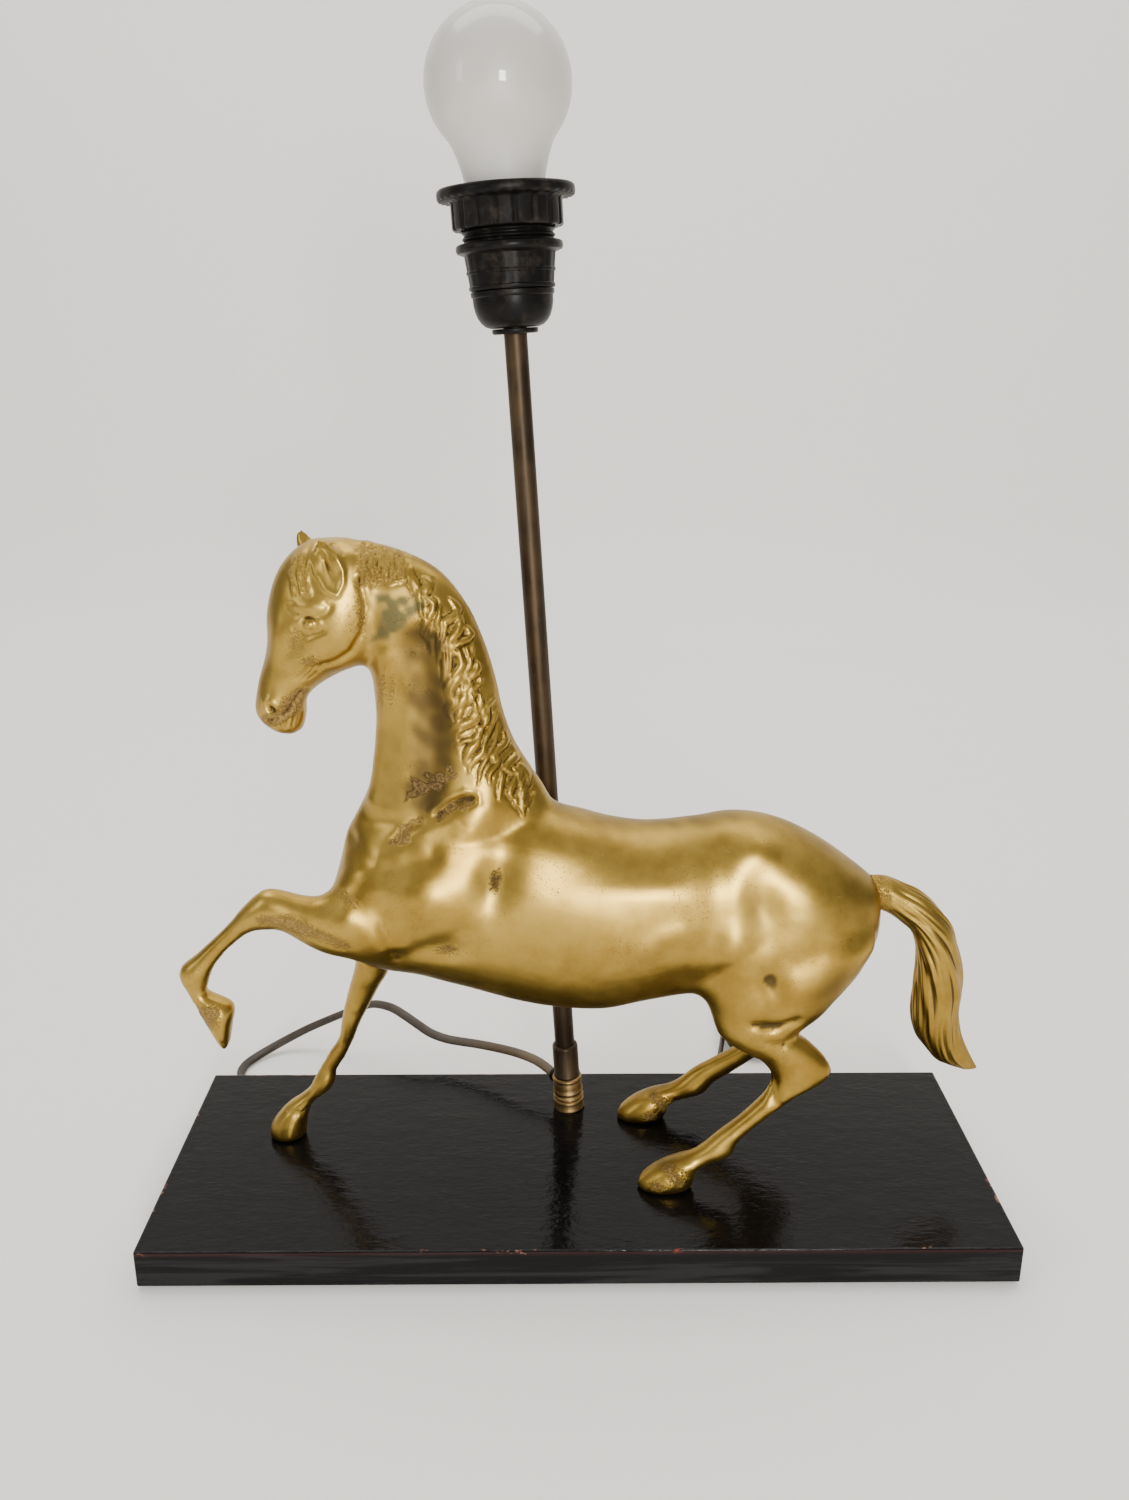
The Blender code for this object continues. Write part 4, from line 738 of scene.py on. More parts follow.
def spot(x, z, middle, wide, high, turn):
    """A soft oval round a place in the side view."""
    c, s = math.cos(math.radians(turn)), math.sin(math.radians(turn))
    a = ((x - middle[0]) * c + (z - middle[1]) * s) / wide
    b = (-(x - middle[0]) * s + (z - middle[1]) * c) / high
    return np.exp(-(a * a + b * b))


def wave(points, size, seed):
    """A smooth random field of about unit height; size is its grain in mm."""
    rng = np.random.default_rng(seed)
    total = np.zeros(len(points))
    for _ in range(14):
        way = rng.normal(size=3)
        way /= np.linalg.norm(way)
        total += np.sin(points @ way * (2 * np.pi / size) * rng.uniform(0.6, 1.5)
                        + rng.uniform(0, 2 * np.pi))
    return total / math.sqrt(7)


# Broad forms: grooves (-) and ridges (+) as (depth in mm, width in mm, line)
BROAD_LINES = [
    (1.2, 4.0, [(-82, 272), (-83, 250), (-86, 226), (-90, 208)]),
    (1.3, 7.0, [(-41, 229), (-38, 219), (-39, 208), (-48, 198), (-64, 192)]),
    (-1.1, 9.0, [(-30, 196), (-31, 186), (-36, 177), (-40, 167)]),
    (-1.3, 5.0, [(-50, 153), (-58, 148), (-73, 142), (-83, 137)]),
    (-1.3, 8.0, [(60, 183), (62, 172), (62, 161), (58, 150)]),
    (0.6, 8.5, [(63, 196), (69, 186), (68, 170), (64, 152)]),
    (1.0, 5.0, [(28, 146), (37, 151), (45, 153), (51, 151)]),
    (-1.3, 7.5, [(86, 131), (90, 137), (104, 144), (119, 148)]),
    (0.8, 8.0, [(96, 124), (108, 131), (119, 138)]),
    (-1.5, 5.0, [(84, 130), (88, 118), (86, 108)]),
    (-1.6, 5.0, [(-100, 188), (-88, 180), (-76, 182), (-64, 187)]),
    (-1.2, 4.5, [(-92, 198), (-78, 200), (-66, 203), (-52, 210)]),
    (1.0, 5.0, [(-100, 160), (-90, 150), (-78, 144)]),
]
BROAD_SPOTS = [
    (3.0, (-66, 168), 14, 12, 0), (-2.6, (-36, 176), 8, 11, 0), (1.8, (6, 158), 40, 22, 0),
    (1.6, (78, 187), 8, 6, 0), (1.6, (-92, 178), 10, 9, 0), (2.6, (68, 143), 11, 11, 0),
    (-1.2, (-58, 196), 10, 5, 20), (1.2, (-9, 190), 18, 10, 0), (-1.6, (46, 126), 10, 9, 0),
    (-2.0, (-56, 143), 10, 5, 15), (1.3, (30, 172), 22, 8, 0), (1.8, (104, 168), 14, 12, 0),
    (-2.6, (79, 164), 9, 14, 12),
]
# The sunken side of the neck behind its front band, and the green place under the poll
NECK_HOLLOW = [(-66, 276), (-64, 258), (-62, 240), (-62, 226), (-66, 214)]
GREEN_PLACE = [(-86, 300), (-84, 290), (-89, 277), (-77, 279), (-67, 288), (-60, 297), (-71, 301)]
# Granular places left from the casting, as outlines
GRAINY_PLACES = [
    [(-75, 208), (-73, 214), (-72, 219), (-62, 221), (-52, 226), (-52, 221), (-61, 214)],
    [(-83, 190), (-80, 195), (-74, 201), (-68, 203), (-67, 201), (-73, 196), (-78, 190)],
    [(-63, 202), (-57, 208), (-49, 212), (-45, 212), (-45, 210), (-51, 207), (-58, 203)],
]
# An outline of painted shade on the near flank by the hip
SHADED_FLANK = [(77, 177), (71, 161), (74, 152), (82, 152), (86, 162)]
# Creases on the castings: (depth in mm, width in mm, roughness round it, line)
CREASES = [
    (-0.7, 1.8, 0.5, [(-138, 158), (-126, 159), (-114, 154), (-102, 147)]),
    (-1.4, 2.2, 0.1, [(78, 108), (87, 106.5), (97, 110)]),
    (-0.8, 1.6, 0.1, [(84, 99), (92, 97)]),
    (-1.3, 2.4, 0.1, [(84, 86), (89, 77), (90, 67)]),
    (-0.5, 1.2, 0.6, [(-177, 118), (-171, 112), (-163, 112)]),
    (-0.6, 1.2, 0.3, [(-142, 37), (-137, 35.5), (-131, 36.5)]),
    (-0.6, 1.2, 0.3, [(44, 35), (50, 31.5), (55, 28)]),
    (-0.6, 1.2, 0.6, [(38, 36), (43, 31), (47, 27)]),
    (-1.1, 2.0, 0.0, [(-80, 192.5), (-75, 197.5), (-69, 201.5)]),
    (-1.5, 2.3, 0.0, [(-60, 204), (-55, 208), (-50, 210.5), (-46, 211.5)]),
    (0.7, 1.5, 0.0, [(-63, 205.5), (-57, 211), (-49, 214.5), (-43.5, 213.5), (-43, 210)]),
]
ROUGH_SPOTS = [
    (0.45, (-101, 168), 8, 3, -25), (0.45, (-36, 176), 4, 7, 0),
    (0.5, (-112, 271), 5, 3, 20), (0.4, (-118, 279), 5, 7, -30),
    (0.35, (-79, 256), 2, 15, -5), (0.4, (-122, 251), 6, 5, 0), (0.6, (-167, 108), 6, 7, 0),
    (0.5, (-58, 143), 7, 4, 0), (0.4, (-124, 154), 9, 3, -20),
    (0.4, (-90, 292), 3, 14, 0), (0.6, (37, 25), 4, 3, 0), (0.45, (-84, 256), 2.5, 14, -8),
]


def panel(x, z, outline, outer, inner):
    """1 inside a closed outline in the side view, rising from outer mm outside its edge
    to inner mm inside."""
    closed = outline + outline[:1]
    gap, _ = line_gap(x, z, closed)
    inside = np.zeros(len(x), bool)
    for (x_a, z_a), (x_b, z_b) in zip(closed, closed[1:]):
        crosses = (z_a > z) != (z_b > z)
        slope = (x_b - x_a) / ((z_b - z_a) or 1e-9)
        inside ^= crosses & (x < x_a + slope * (z - z_a))
    return smoothstep(np.where(inside, gap, -gap), -outer, inner)


def shape_face(x, z, near):
    """Depths in mm over the head, the same on both cheeks, and the ear on the near side."""
    depth = np.zeros(len(x))
    rough = np.zeros(len(x))
    # The jaw's edge, the cheek behind it, and the brow over the eye's socket
    jaw = [(-90, 305), (-88, 294), (-90, 283), (-95, 275), (-102, 270.5), (-109, 268.5)]
    depth -= 1.1 * near_line(x, z, jaw, 1.5)
    depth += 1.3 * spot(x, z, (-99, 285), 10, 12, -25)
    depth += 1.5 * spot(x, z, (-110.5, 294.5), 7.5, 3.2, -4)
    socket = np.hypot((x + 110.5) / 8.2, (z - 294.5) / 4.6)
    depth -= 0.7 * np.exp(-((socket - 1) / 0.20) ** 2) * (z < 296)
    # The eyeball in its groove, the upper lid and the fold under the eye
    eye = np.hypot((x + 111.2) / 1.15, z - 287)
    depth += 1.2 * np.exp(-(eye / 1.7) ** 2) - 0.6 * np.exp(-((eye - 2.7) / 0.7) ** 2)
    depth += 0.5 * np.exp(-((eye - 4.0) / 0.8) ** 2) * (z > 287)
    depth -= 0.9 * near_line(x, z, [(-118, 284.5), (-112, 282.2), (-105.5, 284.5)], 1.2)
    # The nose's hollow side, its ridge, the hollow above the lips, and the muzzle
    depth -= 1.4 * spot(x, z, (-119, 277), 3.6, 8, -38)
    depth += 0.8 * spot(x, z, (-127, 277), 3.0, 14, -10)
    depth -= 0.8 * spot(x, z, (-122, 266), 5, 4, 0)
    depth += 1.0 * spot(x, z, (-130.5, 251.5), 5.0, 4.0, 30)
    nostril = np.hypot((x + 130.4) * 0.9 + (z - 249) * 0.35, (z - 249) * 0.62)
    depth -= 2.2 * np.exp(-(nostril / 1.25) ** 2)
    depth += 0.6 * np.exp(-((nostril - 2.6) / 0.7) ** 2)
    # The mouth, rough at its edges, with folds behind it and under the chin
    mouth = [(-133, 243.5), (-128.5, 245), (-124.5, 247.5), (-121, 252), (-117.5, 256)]
    depth -= 1.3 * near_line(x, z, mouth, 0.9)
    rough += 0.8 * near_line(x, z, mouth, 3.2)
    for shift in (0, 2.6, 5.2):
        fold = [(-119 + shift, 262.5), (-115 + shift, 266), (-112 + shift, 270)]
        depth -= 0.45 * near_line(x, z, fold, 0.7)
    for shift in (0, 2.2, 4.4):
        depth -= 0.5 * near_line(x, z, [(-123.5 + shift, 246), (-125 + shift, 241)], 0.6)
    forelock = ([(-116, 314), (-118.5, 307), (-117, 299)],
                [(-113.5, 315), (-115, 307), (-113.5, 299)],
                [(-110.5, 313), (-111.5, 306), (-110, 299)])
    for lock in forelock:
        gap, along = line_gap(x, z, lock)
        width = 1.1 * (1 - 0.4 * along)
        ripple = 1 + 0.4 * np.sin(along * 16)
        depth += 0.7 * ripple * np.exp(-(gap / width) ** 2)
        rough += 0.2 * np.exp(-(gap / 2.4) ** 2)
    ear_rim = [(-108, 320), (-109.5, 314), (-107.5, 308), (-104, 301.5), (-99, 299),
               (-96.5, 304), (-96.5, 309), (-99, 315), (-103, 319.5), (-108, 320)]
    ear_cup = spot(x, z, (-104, 311.5), 2.2, 6.5, 25)
    depth += near * (1.0 * near_line(x, z, ear_rim, 1.1) - 2.4 * ear_cup)
    return depth, rough


def shape_mane(x, z):
    """Locks hanging from the crest, and a clotted patch at the poll: depth in mm, roughness
    and the dark bands beside the locks."""
    locks = np.zeros(len(x))
    fallen = np.zeros(len(x))
    rng = np.random.default_rng(5)
    shares = np.linspace(0.16, 1, 25)
    roots = curve_through(CREST_ROOTS, shares)
    tips = curve_through(LOCK_TIPS, np.clip(shares + 0.15, 0, 1))
    for number, (root, tip) in enumerate(zip(roots, tips)):
        way = tip - root
        out = np.array([way[1], -way[0]])
        reaches = ((0.10, 0.60), (0.50, 1.05), (0.22, 1.10))
        for first, last in reaches[:2] if number % 4 else reaches[2:]:
            if number % 5 == 3 and first < 0.2:
                continue
            first += rng.uniform(-0.08, 0.12)
            last += rng.uniform(-0.18, 0.10)
            bend = out * rng.uniform(-0.06, 0.20)
            down = np.array([0.0, -rng.uniform(0.5, 6.0)])
            line = curve_through([
                root + way * first,
                root + way * (first * 0.6 + last * 0.4) - bend,
                root + way * (first * 0.25 + last * 0.75) + bend * 0.6 + down * 0.5,
                root + way * last + down], np.linspace(0, 1, 8))
            gap, along = line_gap(x, z, line)
            taper = np.clip(np.sin(np.pi * (0.06 + 0.9 * along)), 0.05, 1) ** 0.8
            width = rng.uniform(1.2, 2.8) * taper
            height = rng.uniform(0.7, 1.4)
            crown = height * np.clip(1 - (gap / width) ** 2, 0, 1) ** 0.7
            beside = np.exp(-((gap - width) / 0.55) ** 2)
            ends = smoothstep(along, 0.1, 0.35) * smoothstep(along, 1.0, 0.85)
            fallen = np.maximum(fallen, beside * ends)
            locks = np.maximum(locks, crown)
    crest, _ = line_gap(x, z, CREST_ROOTS)
    inside = smoothstep(crest, 24, 17)
    depth = (locks - 0.55 * fallen) * inside
    patch = panel(x, z, [(-91, 320), (-91, 303), (-80, 301), (-71, 304), (-72, 316)], 2, 2)
    drips = np.zeros(len(x))
    rng = np.random.default_rng(11)
    for number in range(15):
        left = -90.5 + number * 1.35
        low = rng.uniform(303, 311)
        line = [(left, rng.uniform(312, 317)),
                (left + rng.uniform(-0.6, 0.6), (low + 314) / 2),
                (left + rng.uniform(-0.8, 0.8), low)]
        height = rng.uniform(0.8, 1.6)
        width = rng.uniform(0.55, 0.95)
        drips = np.maximum(drips, height * near_line(x, z, line, width))
    depth = depth * (1 - patch) + patch * (drips - 0.5)
    return depth, np.clip(patch * 0.35, 0, 1), np.clip(fallen, 0, 1) * inside


def brass_finish():
    """Worn polished brass: golden where it is rubbed, brown with patina in the hollows and darkened
    by painted shade where the deep number marks it, dull where it is granular, with a grey-green
    place."""
    finish = Finish("cast_brass", (0.60, 0.39, 0.14), 0.26, 1.0)
    broad = finish.noise(14, 4, 0.6, warp=0.4)
    fine = finish.noise(95, 5, 0.65)
    tone = finish.step(broad * 0.65 + fine * 0.35, 0.36, 0.62)
    gold = finish.blend(tone, (0.31, 0.188, 0.032), (0.46, 0.302, 0.062))
    pores = 1 - finish.step(finish.cells(900), 0.10, 0.22)
    few = finish.step(finish.noise(38, 2), 0.52, 0.62)
    pits = pores * few
    roughness = 0.27 + 0.10 * fine + 0.08 * broad
    grain = finish.noise(1500, 2, 0.5)
    rough = finish.painted("rough")
    deep = finish.painted("deep")
    green = finish.painted("green")
    grit = finish.noise(1000, 3, 0.7)
    crumbs = finish.step(finish.cells(900), 0.15, 0.55)
    gritty = finish.step(rough + (grit - 0.5) * 0.9, 0.22, 0.62)
    # The deep number darkens to brown: patina in the hollows, and painted shade under the body, on
    # its back, in the neck's hollow, on the flank and in the groin
    colour = finish.blend(finish.step(deep, 0.1, 0.9), gold, (0.085, 0.055, 0.018))
    colour = finish.blend(gritty * 0.65, colour,
                          finish.blend(finish.step(grit, 0.42, 0.6), (0.110, 0.064, 0.026),
                                       (0.33, 0.205, 0.066)))
    colour = finish.blend(finish.step(green * (0.45 + fine * 0.9), 0.25, 0.85), colour,
                          (0.130, 0.105, 0.036))
    colour = finish.blend(pits * 0.8, colour, (0.09, 0.05, 0.02))
    finish.set("Base Color", colour)
    finish.set("Roughness", roughness + 0.25 * gritty + 0.18 * deep + 0.25 * pits
               + 0.2 * green)
    finish.set("Metallic", 1 - 0.30 * gritty - 0.2 * green)
    finish.relief((fine, 0.10, 0.0008), (gritty * crumbs, 0.8, 0.0004),
                  (gritty * grit, 0.7, 0.0003), (1 - pits, 0.6, 0.0003), (grain, 0.05, 0.0001))
    return finish


def in_fine_place(x, z):
    """True over the head, the mane and the granular places of the shoulder."""
    on_head = x < -92 and z > 238
    return on_head or (z > 185 and -104 < x < -10 and x + 0.62 * z < 140)


def horse_form():
    """One closed skin round all the castings' forms, finer over the head and the mane."""
    forms = [lofted(TORSO, 56, 90), lofted(NECK, 48, 70), lofted(HEAD, 44, 70),
             lofted(EAR_LEFT, 20, 20), lofted(EAR_RIGHT, 20, 20)]
    forms += [lofted(leg, 32, 90) for leg in (FORELEG_LEFT, FORELEG_RIGHT, HIND_LEG_LEFT,
                                              HIND_LEG_RIGHT)]
    bm = bmesh.new()
    for form in forms:
        whole = bpy.data.meshes.new("form")
        form.to_mesh(whole)
        form.free()
        bm.from_mesh(whole)
        bpy.data.meshes.remove(whole)
    rough_form = bpy.data.meshes.new("horse_form")
    bm.to_mesh(rough_form)
    bm.free()
    guide = bpy.data.objects.new("horse_form", rough_form)
    bpy.context.collection.objects.link(guide)
    remesh = guide.modifiers.new("skin", "REMESH")
    remesh.mode = "VOXEL"
    remesh.voxel_size = SKIN_CELL
    ready = guide.evaluated_get(bpy.context.evaluated_depsgraph_get())
    mesh = bpy.data.meshes.new_from_object(ready)
    mesh.name = "horse_skin"
    bpy.data.objects.remove(guide)
    set_points(mesh, smoothed(points_of(mesh) / MM, edges_of(mesh), 6, *FAIR) * MM)
    bm = bmesh.new()
    bm.from_mesh(mesh)
    finer = [e for e in bm.edges if all(in_fine_place(v.co.x / MM, v.co.z / MM) for v in e.verts)]
    bmesh.ops.subdivide_edges(bm, edges=finer, cuts=1, use_grid_fill=True)
    bm.to_mesh(mesh)
    bm.free()
    return mesh


def soften_seams(points, edges):
    """Points in mm, evened out where one form runs into another."""
    soft = smoothed(points, edges, 70, 0.6)
    x, _, z = points.T
    join = np.zeros(len(x))
    for seam in SEAMS:
        join = np.maximum(join, near_line(x, z, seam, 9.0))
    join *= 1 - 0.7 * (z < 100)
    return points + (soft - points) * join[:, None]


def broad_depth(points, normals):
    """Muscles and hollows: how far in mm the points move along their normals."""
    x, y, z = points.T
    side = smoothstep(np.abs(normals[:, 1]), 0.05, 0.55)
    trunk = (z > 100) & (x > -110) & (np.abs(y) < 40)
    depth = np.zeros(len(x))
    for amount, width, line in BROAD_LINES:
        depth += amount * near_line(x, z, line, width) * side * trunk
    for amount, middle, wide, high, turn in BROAD_SPOTS:
        depth += amount * spot(x, z, middle, wide, high, turn) * side * trunk
    depth -= 3.2 * near_line(x, z, NECK_HOLLOW, 9) * side
    return depth + (0.07 * wave(points, 40, 1) + 0.025 * wave(points, 17, 2))


def facing(normals):
    """Two shares: 1 on both flanks, and 1 on the near flank only."""
    return smoothstep(np.abs(normals[:, 1]), 0.05, 0.5), smoothstep(-normals[:, 1], 0.05, 0.45)


def fine_depth(points, normals):
    """Face, mane, creases and granular places: depth in mm, roughness and dark bands."""
    x, _, z = points.T
    side, near = facing(normals)
    on_head = smoothstep(-x + (z - 280) * 0.35, 86, 92) * (z > 232)
    on_mane = smoothstep(x, -101, -95) * (z > 200)
    face, face_rough = shape_face(x, z, near)
    mane, mane_rough, band = shape_mane(x, z)
    fine = (face * on_head * side
            + mane * on_mane * smoothstep(np.abs(normals[:, 1]), 0.25, 0.6))
    rough = face_rough * on_head * side + mane_rough * on_mane
    for amount, width, grit, line in CREASES:
        fine += amount * near_line(x, z, line, width) * near
        rough += grit * near_line(x, z, line, width * 2) * near
    ragged_x = x + 1.1 * wave(points, 7, 12)
    ragged_z = z + 1.1 * wave(points, 6, 13)
    for outline in GRAINY_PLACES:
        rough += 0.75 * panel(ragged_x, ragged_z, outline, 1.6, 2.0) * near
    for amount, middle, wide, high, turn in ROUGH_SPOTS:
        rough += amount * spot(x, z, middle, wide, high, turn) * side
    fine -= 0.35 * rough * np.clip(wave(points, 4.2, 7), -1, 1) * 0.5
    return fine, rough, band * on_mane * side


def patina_and_painted_shade(x, z, points, normals, edges, band):
    """Dark places from 0 to 1: patina in the hollows, and painted shade on the up-facing back, the
    underside, the neck's hollow, the shaded flank and the groin.
    """
    side, near = facing(normals)
    deep = np.maximum(smoothstep(sunk(points, normals, edges, 14), 0.12, 0.75), 0.5 * band)
    # Painted shade: darker where the skin faces down, and on up-facing skin from the neck back
    under = smoothstep(-normals[:, 2], 0.3, 0.95) * 0.5
    mottle = 1 + 0.10 * wave(points, 40, 9) + 0.07 * wave(points, 9, 8)
    top = smoothstep(normals[:, 2], 0.45, 0.95) * (x > -70) * 0.48 * mottle
    # Painted shade in the neck's hollow, on the near flank by the hip and in the groin
    gap, _ = line_gap(x, z, NECK_HOLLOW)
    neck = 0.80 * mottle * np.exp(-(gap / 12) ** 4) * side
    flank = 0.45 * mottle * panel(x, z, SHADED_FLANK, 5, 6) * near
    groin = 0.6 * spot(x, z, (112, 128), 16, 8, 40) * side
    return np.maximum.reduce([deep, top, under, neck, flank, groin])


def build_horse(finish):
    """One skin over the castings, with muscles, mane, face and creases pushed into it."""
    mesh = horse_form()
    edges = edges_of(mesh)
    points = soften_seams(smoothed(points_of(mesh) / MM, edges, 4, *FAIR), edges)
    set_points(mesh, points)
    normals = normals_of(mesh)
    points = points + normals * broad_depth(points, normals)[:, None]
    set_points(mesh, points)
    normals = normals_of(mesh)
    fine, rough, band = fine_depth(points, normals)
    x, _, z = points.T
    points = points + normals * fine[:, None]
    points[(z < SOLE + 0.3) & (points[:, 2] < SOLE), 2] = SOLE

    side, _ = facing(normals)
    green = panel(x, z, GREEN_PLACE, 3, 5) * side * smoothstep(-normals[:, 1], -0.2, 0.3)
    paint(mesh, "rough", rough)
    # The deep number: patina in the hollows, and painted shade on the back, the underside, the
    # neck's hollow, the flank and the groin
    paint(mesh, "deep", patina_and_painted_shade(x, z, points, normals, edges, band))
    paint(mesh, "green", green * np.clip(0.8 + 0.3 * wave(points, 7, 3), 0.2, 1))
    set_points(mesh, points * MM)
    mesh.shade_smooth()
    mesh.materials.clear()
    mesh.materials.append(finish.material)
    horse = bpy.data.objects.new("horse_skin", mesh)
    bpy.context.collection.objects.link(horse)
    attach(horse, "lamp")
    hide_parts("horse_left_half", "horse_right_half", "foreleg_left", "foreleg_right",
                "hind_leg_left", "hind_leg_right")


def build_tail(finish):
    """The tail, its strands cut as long grooves that follow its bend."""
    knots = [[x_a, z_a, x_b, z_b, y, half] for (x_a, z_a), (x_b, z_b), y, half in TAIL]

    def shape(turn, reach):
        row = curve_through(knots, reach)
        angle = 2 * np.pi * turn
        lean = angle + 0.5 * np.sin(reach * 7)
        strands = (0.55 * np.sin(lean * 9 + 3 * np.sin(reach * 5))
                   + 0.4 * np.sin(lean * 15 - 6 * reach)
                   + 0.25 * np.sin(lean * 23 + 14 * reach))
        strength = smoothstep(reach, 0.06, 0.25) * (1 - 0.5 * smoothstep(reach, 0.8, 1.0))
        grow = 1 + 0.055 * strands * strength
        middle = (row[:, 0:2] + row[:, 2:4]) / 2
        radius = (row[:, 0:2] - row[:, 2:4]) / 2 * (np.cos(angle) * grow)[:, None]
        return np.stack([middle[:, 0] + radius[:, 0],
                         row[:, 4] + row[:, 5] * np.sin(angle) * grow,
                         middle[:, 1] + radius[:, 1]], axis=1) * MM

    tail = piece("tail_cast", wrapped(160, 150, shape), finish,
                 replaces=("tail",), smooth=180)
    points = points_of(tail.data) / MM
    deep = sunk(points, normals_of(tail.data), edges_of(tail.data), 12)
    paint(tail.data, "deep", smoothstep(deep, 0.02, 0.22))
    root = smoothstep(points[:, 0], 145, 140)
    paint(tail.data, "rough", 0.25 * smoothstep(deep, 0.03, 0.2) + 0.35 * root)
    paint(tail.data, "green", 0.5 * smoothstep(points[:, 0], 182, 190))


# ---------------------------------------------------------------- stem, lampholder, bulb

def on_stem(name, profile, finish, node, body="lamp", steps=96, edge=0, smooth=40):
    """A turned piece on the stem's axis, in place of its CAD node."""
    turned = piece(name, spun(profile, steps), finish, body=body, replaces=(node,),
                   smooth=smooth, matrix=STEM)
    if edge:
        soften(turned, edge * MM)
    return turned


def reshape_on_stem(obj, change):
    """Moves a turned piece's points in the stem's own frame: change takes their angles,
    radii and heights in mm, and gives a factor for the radii and a rise in mm."""
    away = STEM.inverted()
    local = points_of(obj.data) @ np.array(away.to_3x3()).T + np.array(away.translation)
    angle = np.arctan2(local[:, 1], local[:, 0])
    out = np.hypot(local[:, 0], local[:, 1]) / MM
    factor, rise = change(angle, out, local[:, 2] / MM)
    local[:, 0] *= factor
    local[:, 1] *= factor
    local[:, 2] += rise * MM
    set_points(obj.data, local @ np.array(STEM.to_3x3()).T + np.array(STEM.translation))


def old_brass_finish(name, dark, light, metallic=1.0):
    """Brown lacquered brass with long streaks up the tube."""
    finish = Finish(name, light, 0.40, metallic)
    streaks = finish.noise(150, 4, 0.6, (1, 1, 0.06))
    blots = finish.noise(60, 4, 0.6)
    finish.set("Base Color", finish.blend(finish.step(streaks * 0.6 + blots * 0.4, 0.38, 0.6),
                                          dark, light))
    finish.set("Roughness", 0.36 + 0.22 * blots)
    finish.relief((streaks, 0.12, 0.0003), (finish.noise(900, 3), 0.08, 0.0001))
    return finish


def bakelite_finish():
    """Black moulded resin, gone brown and dull where it is handled."""
    finish = Finish("bakelite", (0.008, 0.007, 0.006), 0.32, Specular_IOR_Level=0.12)
    wear = finish.step(finish.noise(120, 5, 0.7), 0.50, 0.68)
    finish.set("Base Color", finish.blend(wear, (0.0050, 0.0044, 0.0040), (0.022, 0.017, 0.013)))
    finish.set("Roughness", 0.22 + 0.30 * finish.noise(90, 4) + 0.12 * wear)
    finish.relief((finish.noise(260, 4), 0.25, 0.0003), (finish.noise(1200, 2), 0.2, 0.0001))
    return finish


def build_stem(brown, bright, bakelite):
    """The tube with its foot and sleeve, and the lampholder's lock nut, cap and skirt."""
    base = HOLDER_BASE
    on_stem("stem_tube_skin", [(3.8, -15), (5.0, -15), (5.0, base + 7), (3.8, base + 7)], brown,
            "stem_tube", steps=64, edge=0.15)
    on_stem("stem_foot_turned", [
        (5.3, 0.3), (7.9, 0.3), (8.0, 0.9), (7.7, 1.4), (7.8, 4.4), (7.9, 5.3), (7.6, 5.7),
        (7.0, 6.1), (7.1, 6.5), (7.75, 6.8), (7.9, 7.2), (7.75, 7.7), (7.1, 8.2), (7.0, 8.6),
        (7.0, 9.2), (7.6, 9.6), (7.8, 10.2), (7.75, 10.8), (7.4, 11.3), (7.3, 13), (7.2, 15.4),
        (6.9, 16.0), (7.0, 16.4), (7.5, 16.8), (7.6, 17.3), (7.4, 17.9), (6.8, 18.5), (5.3, 18.5)],
        bright, "stem_foot", smooth=60)
    on_stem("stem_sleeve_turned", [
        (5.3, 18.9), (6.7, 18.9), (6.8, 19.3), (6.75, 19.8), (6.5, 20.2), (6.5, 35.4), (6.4, 35.9),
        (6.1, 36.5), (5.6, 36.9), (5.3, 36.9)], brown, "stem_sleeve", smooth=60)

    on_stem("socket_locknut_turned", [
        (5.3, base), (9.2, base), (9.7, base + 0.3), (9.9, base + 0.8), (9.9, base + 1.9),
        (9.6, base + 2.2), (5.3, base + 2.2)], bakelite, "socket_locknut")
    low, top = base + 2.5, base + 17.6
    dome = [(10.4, low), (12.4, low + 0.7), (14.1, low + 2.2), (15.5, low + 4.2),
            (16.4, low + 6.6), (16.9, low + 9.0), (17.1, low + 11.6), (17.1, top - 2.6),
            (17.6, top - 2.4), (17.8, top - 1.2), (17.7, top - 0.2)]
    on_stem("socket_cap_turned", [(5.3, low)] + dome + [
        (15.8, top), (15.8, top + 5), (14.4, top + 5), (14.4, low + 8.4), (11.4, low + 4.0),
        (5.3, low + 2.8)], bakelite, "socket_cap", edge=0.2)

    flange = base + 33.2
    skirt = [(16.1, top + 0.3), (18.0, top + 0.3), (18.3, top + 0.8), (18.3, top + 1.7),
             (17.9, top + 2.1), (18.4, top + 6.5), (18.9, top + 6.8), (18.9, top + 7.7),
             (18.6, top + 8.1), (19.3, flange - 1.6), (20.6, flange - 1.1), (22.0, flange - 0.6),
             (22.5, flange + 0.3), (22.5, flange + 1.5), (22.2, flange + 2.5), (21.2, flange + 3.0),
             (18.9, flange + 3.0)]
    ridge = flange + 3.8
    last_ridge = base + 50.6
    while ridge < last_ridge:
        skirt += [(18.6, ridge), (19.0, ridge + 0.35), (19.5, ridge + 0.9), (19.5, ridge + 1.3),
                  (19.0, ridge + 1.9), (18.6, ridge + 2.2)]
        ridge += 2.5
    skirt += [(18.6, base + 53), (16.6, base + 53), (16.6, top + 5.6), (16.1, top + 5.3)]
    body = on_stem("socket_skirt_turned", skirt, bakelite, "socket_skirt")

    flutes = 20

    def flute(angle, out, height):
        ribbed = ((out > 17.7) & (out < 19.4)
                  & (height > base + 18.6) & (height < base + 31.8))
        return 1 - 0.014 * ribbed * (0.5 + 0.5 * np.cos(angle * flutes)) ** 3, 0.0

    reshape_on_stem(body, flute)


